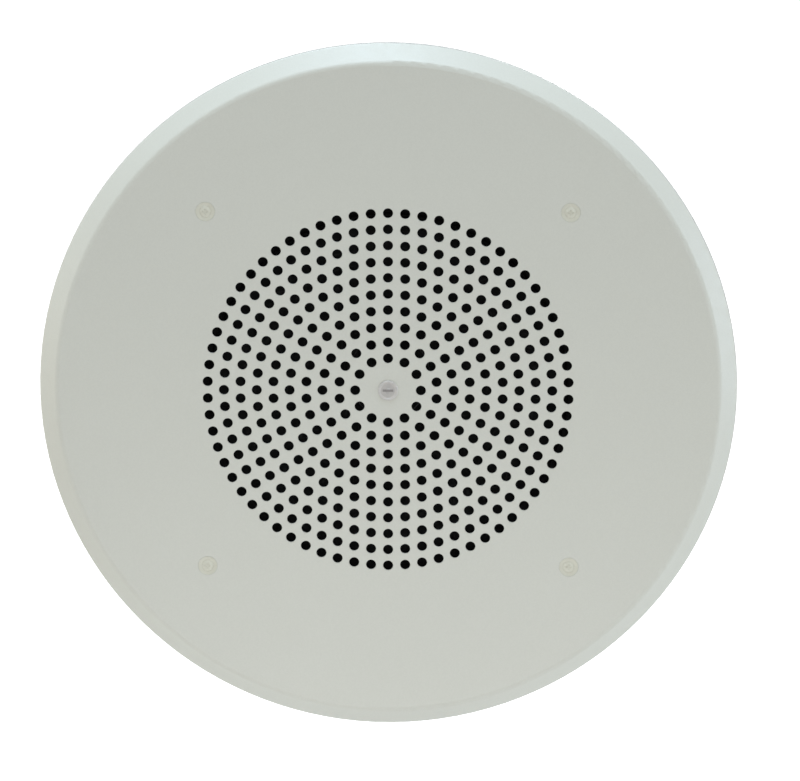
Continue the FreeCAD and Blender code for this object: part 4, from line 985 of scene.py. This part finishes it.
# ---------------------------------------------------------------- transformer
def make_laminations():
    """A stack of thin E and I plates, each a hair out of line with the next."""
    rng = random.Random(7)
    sheet, gap, slack = 0.5 * MM, 0.04 * MM, 0.05 * MM
    unit = (core_high.z - core_low.z) / 6
    width = unit * 0.997
    count = round((core_high.x - core_low.x) / sheet)
    top = core_high.y
    joint = top - unit
    bm = bmesh.new()
    for k in range(count):
        x0 = core_low.x + k * sheet + gap / 2
        x1 = x0 + sheet - gap
        dy, dz = rng.uniform(-0.05, 0.0) * MM, rng.uniform(-0.06, 0.06) * MM
        y0, y1, y2 = core_low.y + slack, joint + dy, top + dy
        web = y0 + unit
        comb = [(y0, -3), (y0, 3), (y1, 3), (y1, 2), (web, 2), (web, 1),
                (y1, 1), (y1, -1), (web, -1), (web, -2), (y1, -2), (y1, -3)]
        bar = [(y1 + slack, -3), (y1 + slack, 3), (y2, 3), (y2, -3)]
        for outline in (comb, bar):
            sides = [[bm.verts.new((x, y, z * width + dz)) for y, z in outline] for x in (x0, x1)]
            cap_ends(bm, sides)
            join_rings(bm, sides)
    made = piece("laminations", bm, lamination("lamination_steel"), smooth=False)
    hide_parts("transformer_core")
    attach(made, "chassis")


def make_coil_wrap():
    """The taped winding: a block with round corners, a little swollen in its middle."""
    centre = (coil_low + coil_high) / 2
    half = (coil_high - coil_low) / 2
    around, along = 96, 28
    squareness, fit = 0.42, 0.99
    bm = bmesh.new()
    rings = []
    for j in range(along + 1):
        t = j / along
        y = coil_low.y + (coil_high.y - coil_low.y) * t
        swell = 1 - 0.045 * (2 * t - 1) ** 4
        ring = []
        for k in range(around):
            angle = TURN * k / around
            c, s = math.cos(angle), math.sin(angle)
            x = half.x * math.copysign(abs(c) ** squareness, c)
            z = half.z * math.copysign(abs(s) ** squareness, s)
            ripple = 1 + 0.006 * noise.noise(Vector((4 * c, 9 * t, 4 * s)))
            grow = swell * ripple * fit
            ring.append(bm.verts.new((centre.x + x * grow, y, centre.z + z * grow)))
        rings.append(ring)
    join_rings(bm, rings)
    cap_ends(bm, rings)
    made = piece("coil_wrap", bm, coil_tape("amber_tape"))
    crease(made, 60)
    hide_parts("transformer_coil")
    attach(made, "chassis")


# ---------------------------------------------------------------- small parts
def blob(bm, centre, size, seed):
    """A small uneven drop of solder."""
    for vert in bmesh.ops.create_icosphere(bm, subdivisions=3, radius=1.0)["verts"]:
        swell = 1 + 0.22 * noise.noise(vert.co * 1.4 + Vector((seed, seed, seed)))
        vert.co = Vector(centre) + Vector([c * s * swell for c, s in zip(vert.co, size)])


def around_shaft(degrees):
    """Which way a tag or mark lies from the selector's shaft, turned from +Z towards +Y."""
    angle = math.radians(degrees)
    return Vector((0, math.sin(angle), math.cos(angle)))


def make_solder(materials):
    """Drops of solder on the switch's tags, the terminal tags and the cone's eyelets."""
    bm = bmesh.new()
    tags = Vector((drum_low.x - 3.6 * MM, selector_y, 0))
    for k, degrees in enumerate(lead_tags):
        place = tags + around_shaft(degrees) * (tag_circle - 0.35 * MM)
        blob(bm, place, (2.0 * MM, 1.0 * MM, 1.0 * MM), k)
    for k, x in enumerate((lug_x, -lug_x)):
        lead_end = (x, shelf_back_y + 6.3 * MM, lug_z + 3.65 * MM)
        blob(bm, lead_end, (1.5 * MM, 1.3 * MM, 1.0 * MM), 7 + k)
        braid_end = (x, shelf_back_y + 2.4 * MM, lug_z - 8.6 * MM)
        blob(bm, braid_end, (1.5 * MM, 0.7 * MM, 1.5 * MM), 9 + k)
    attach(piece("solder_joints", bm, materials["solder"]), "chassis")
    bm = bmesh.new()
    eyelet_y = cone_front(math.hypot(eyelet_x, eyelet_z)) + 3.0 * MM
    for k, x in enumerate((eyelet_x, -eyelet_x)):
        blob(bm, (x, eyelet_y, eyelet_z), (1.3 * MM, 0.7 * MM, 1.3 * MM), 12 + k)
    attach(piece("eyelet_solder", bm, materials["solder"]), "cone_assembly")


def bar_mesh(bm, centre, half, along, up):
    """A small chamfered bar: half sizes along, up and out of the plane they span."""
    along, up = Vector(along).normalized(), Vector(up).normalized()
    out = along.cross(up)
    fresh = bmesh.ops.create_cube(bm, size=2)["verts"]
    for vert in fresh:
        x, y, z = vert.co
        vert.co = Vector(centre) + along * x * half[0] + up * y * half[1] + out * z * half[2]
    edges = {e for v in fresh for e in v.link_edges}
    bmesh.ops.bevel(bm, geom=list(edges), offset=min(half) * 0.5, segments=2, affect="EDGES")


def make_dial_marks():
    """Ticks and plain numbers on the dial, one for each switch position."""
    ink = printed_ink("dial_ink", (0.72, 0.72, 0.69))
    dial_face = Vector((dial_face_x, selector_y, 0))
    tick_circle, number_circle = 11.35 * MM, 12.55 * MM
    proud = Vector((0.02 * MM, 0, 0))
    bm = bmesh.new()
    for degrees in dial_steps:
        way = around_shaft(degrees)
        across = Vector((1, 0, 0)).cross(way)
        bar_mesh(bm, dial_face + proud + way * tick_circle, (0.35 * MM, 0.10 * MM, 0.03 * MM), way, across)
    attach(piece("dial_ticks", bm, ink, smooth=False), "chassis")
    towards_x = Matrix(((0, 0, 1, 0), (1, 0, 0, 0), (0, 1, 0, 0), (0, 0, 0, 1)))
    for degrees, text in zip(dial_steps, "43210"):
        data = bpy.data.curves.new("dial_number_" + text, "FONT")
        data.body = text
        data.size = 2.1 * MM
        data.extrude = proud.x
        data.align_x, data.align_y = "CENTER", "CENTER"
        data.materials.append(ink)
        number = bpy.data.objects.new("dial_number_" + text, data)
        bpy.context.scene.collection.objects.link(number)
        place = dial_face + proud * 1.5 + around_shaft(degrees) * number_circle
        number.matrix_world = Matrix.Translation(place) @ towards_x
        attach(number, "chassis")


def make_pointer_line():
    """White line let into the knob's raised pointer."""
    ink = printed_ink("pointer_white", (0.78, 0.78, 0.75))
    bm = bmesh.new()
    centre = (pointer_x + 0.01 * MM, selector_y + 5.4 * MM, 0)
    bar_mesh(bm, centre, (3.6 * MM, 0.32 * MM, 0.05 * MM), (0, 1, 0), (0, 0, 1))
    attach(piece("pointer_line", bm, ink, smooth=False), "tap_selector")


# ---------------------------------------------------------------- assembly
make_camera()
make_world()
make_floor()
make_lamp("top_softbox", (-0.16, -0.06, 1.4), (0, 0, 0), (1.3, 0.5), 18.6, (0.68, 0.84, 1.0))
make_lamp("right_softbox", (1.5, -0.06, 0.1), (0, 0, 0), (0.4, 0.9), 7.6, (0.74, 0.87, 1.0))
make_lamp("left_softbox", (-1.5, -0.06, 0.0), (0, 0, 0), (0.4, 0.9), 3.2, (1.0, 0.98, 0.86))
make_lamp("low_front_fill", (0.0, -0.56, -0.38), (0, 0, -0.05), (0.6, 0.2), 0.85)
make_lamp("back_softbox", (0.8, 1.8, 0.9), (0, 0, 0), (0.9, 0.9), 24)
make_lamp("back_fill", (-1.7, 1.3, 0.0), (0, 0, 0), (0.5, 1.4), 9)
bpy.context.scene.view_settings.view_transform = "Standard"

shared = paint_nodes()
shared["braid"] = solder_metal("copper_tinsel", (0.60, 0.33, 0.18), (0.25, 0.42))
shared["solder"] = solder_metal("solder", (0.62, 0.62, 0.60), (0.18, 0.38))
shared["black_glue"] = cured_glue("black_glue", (0.02, 0.02, 0.02))
shared["amber_glue"] = cured_glue("amber_glue", (0.20, 0.09, 0.02))

make_cone()
make_surround()
make_spider()
for side in (1, -1):
    make_tinsel(side, shared)
make_glue(shared)
make_screw_paint(shared)
make_threads(shared)
make_laminations()
make_coil_wrap()
make_solder(shared)
make_dial_marks()
make_pointer_line()
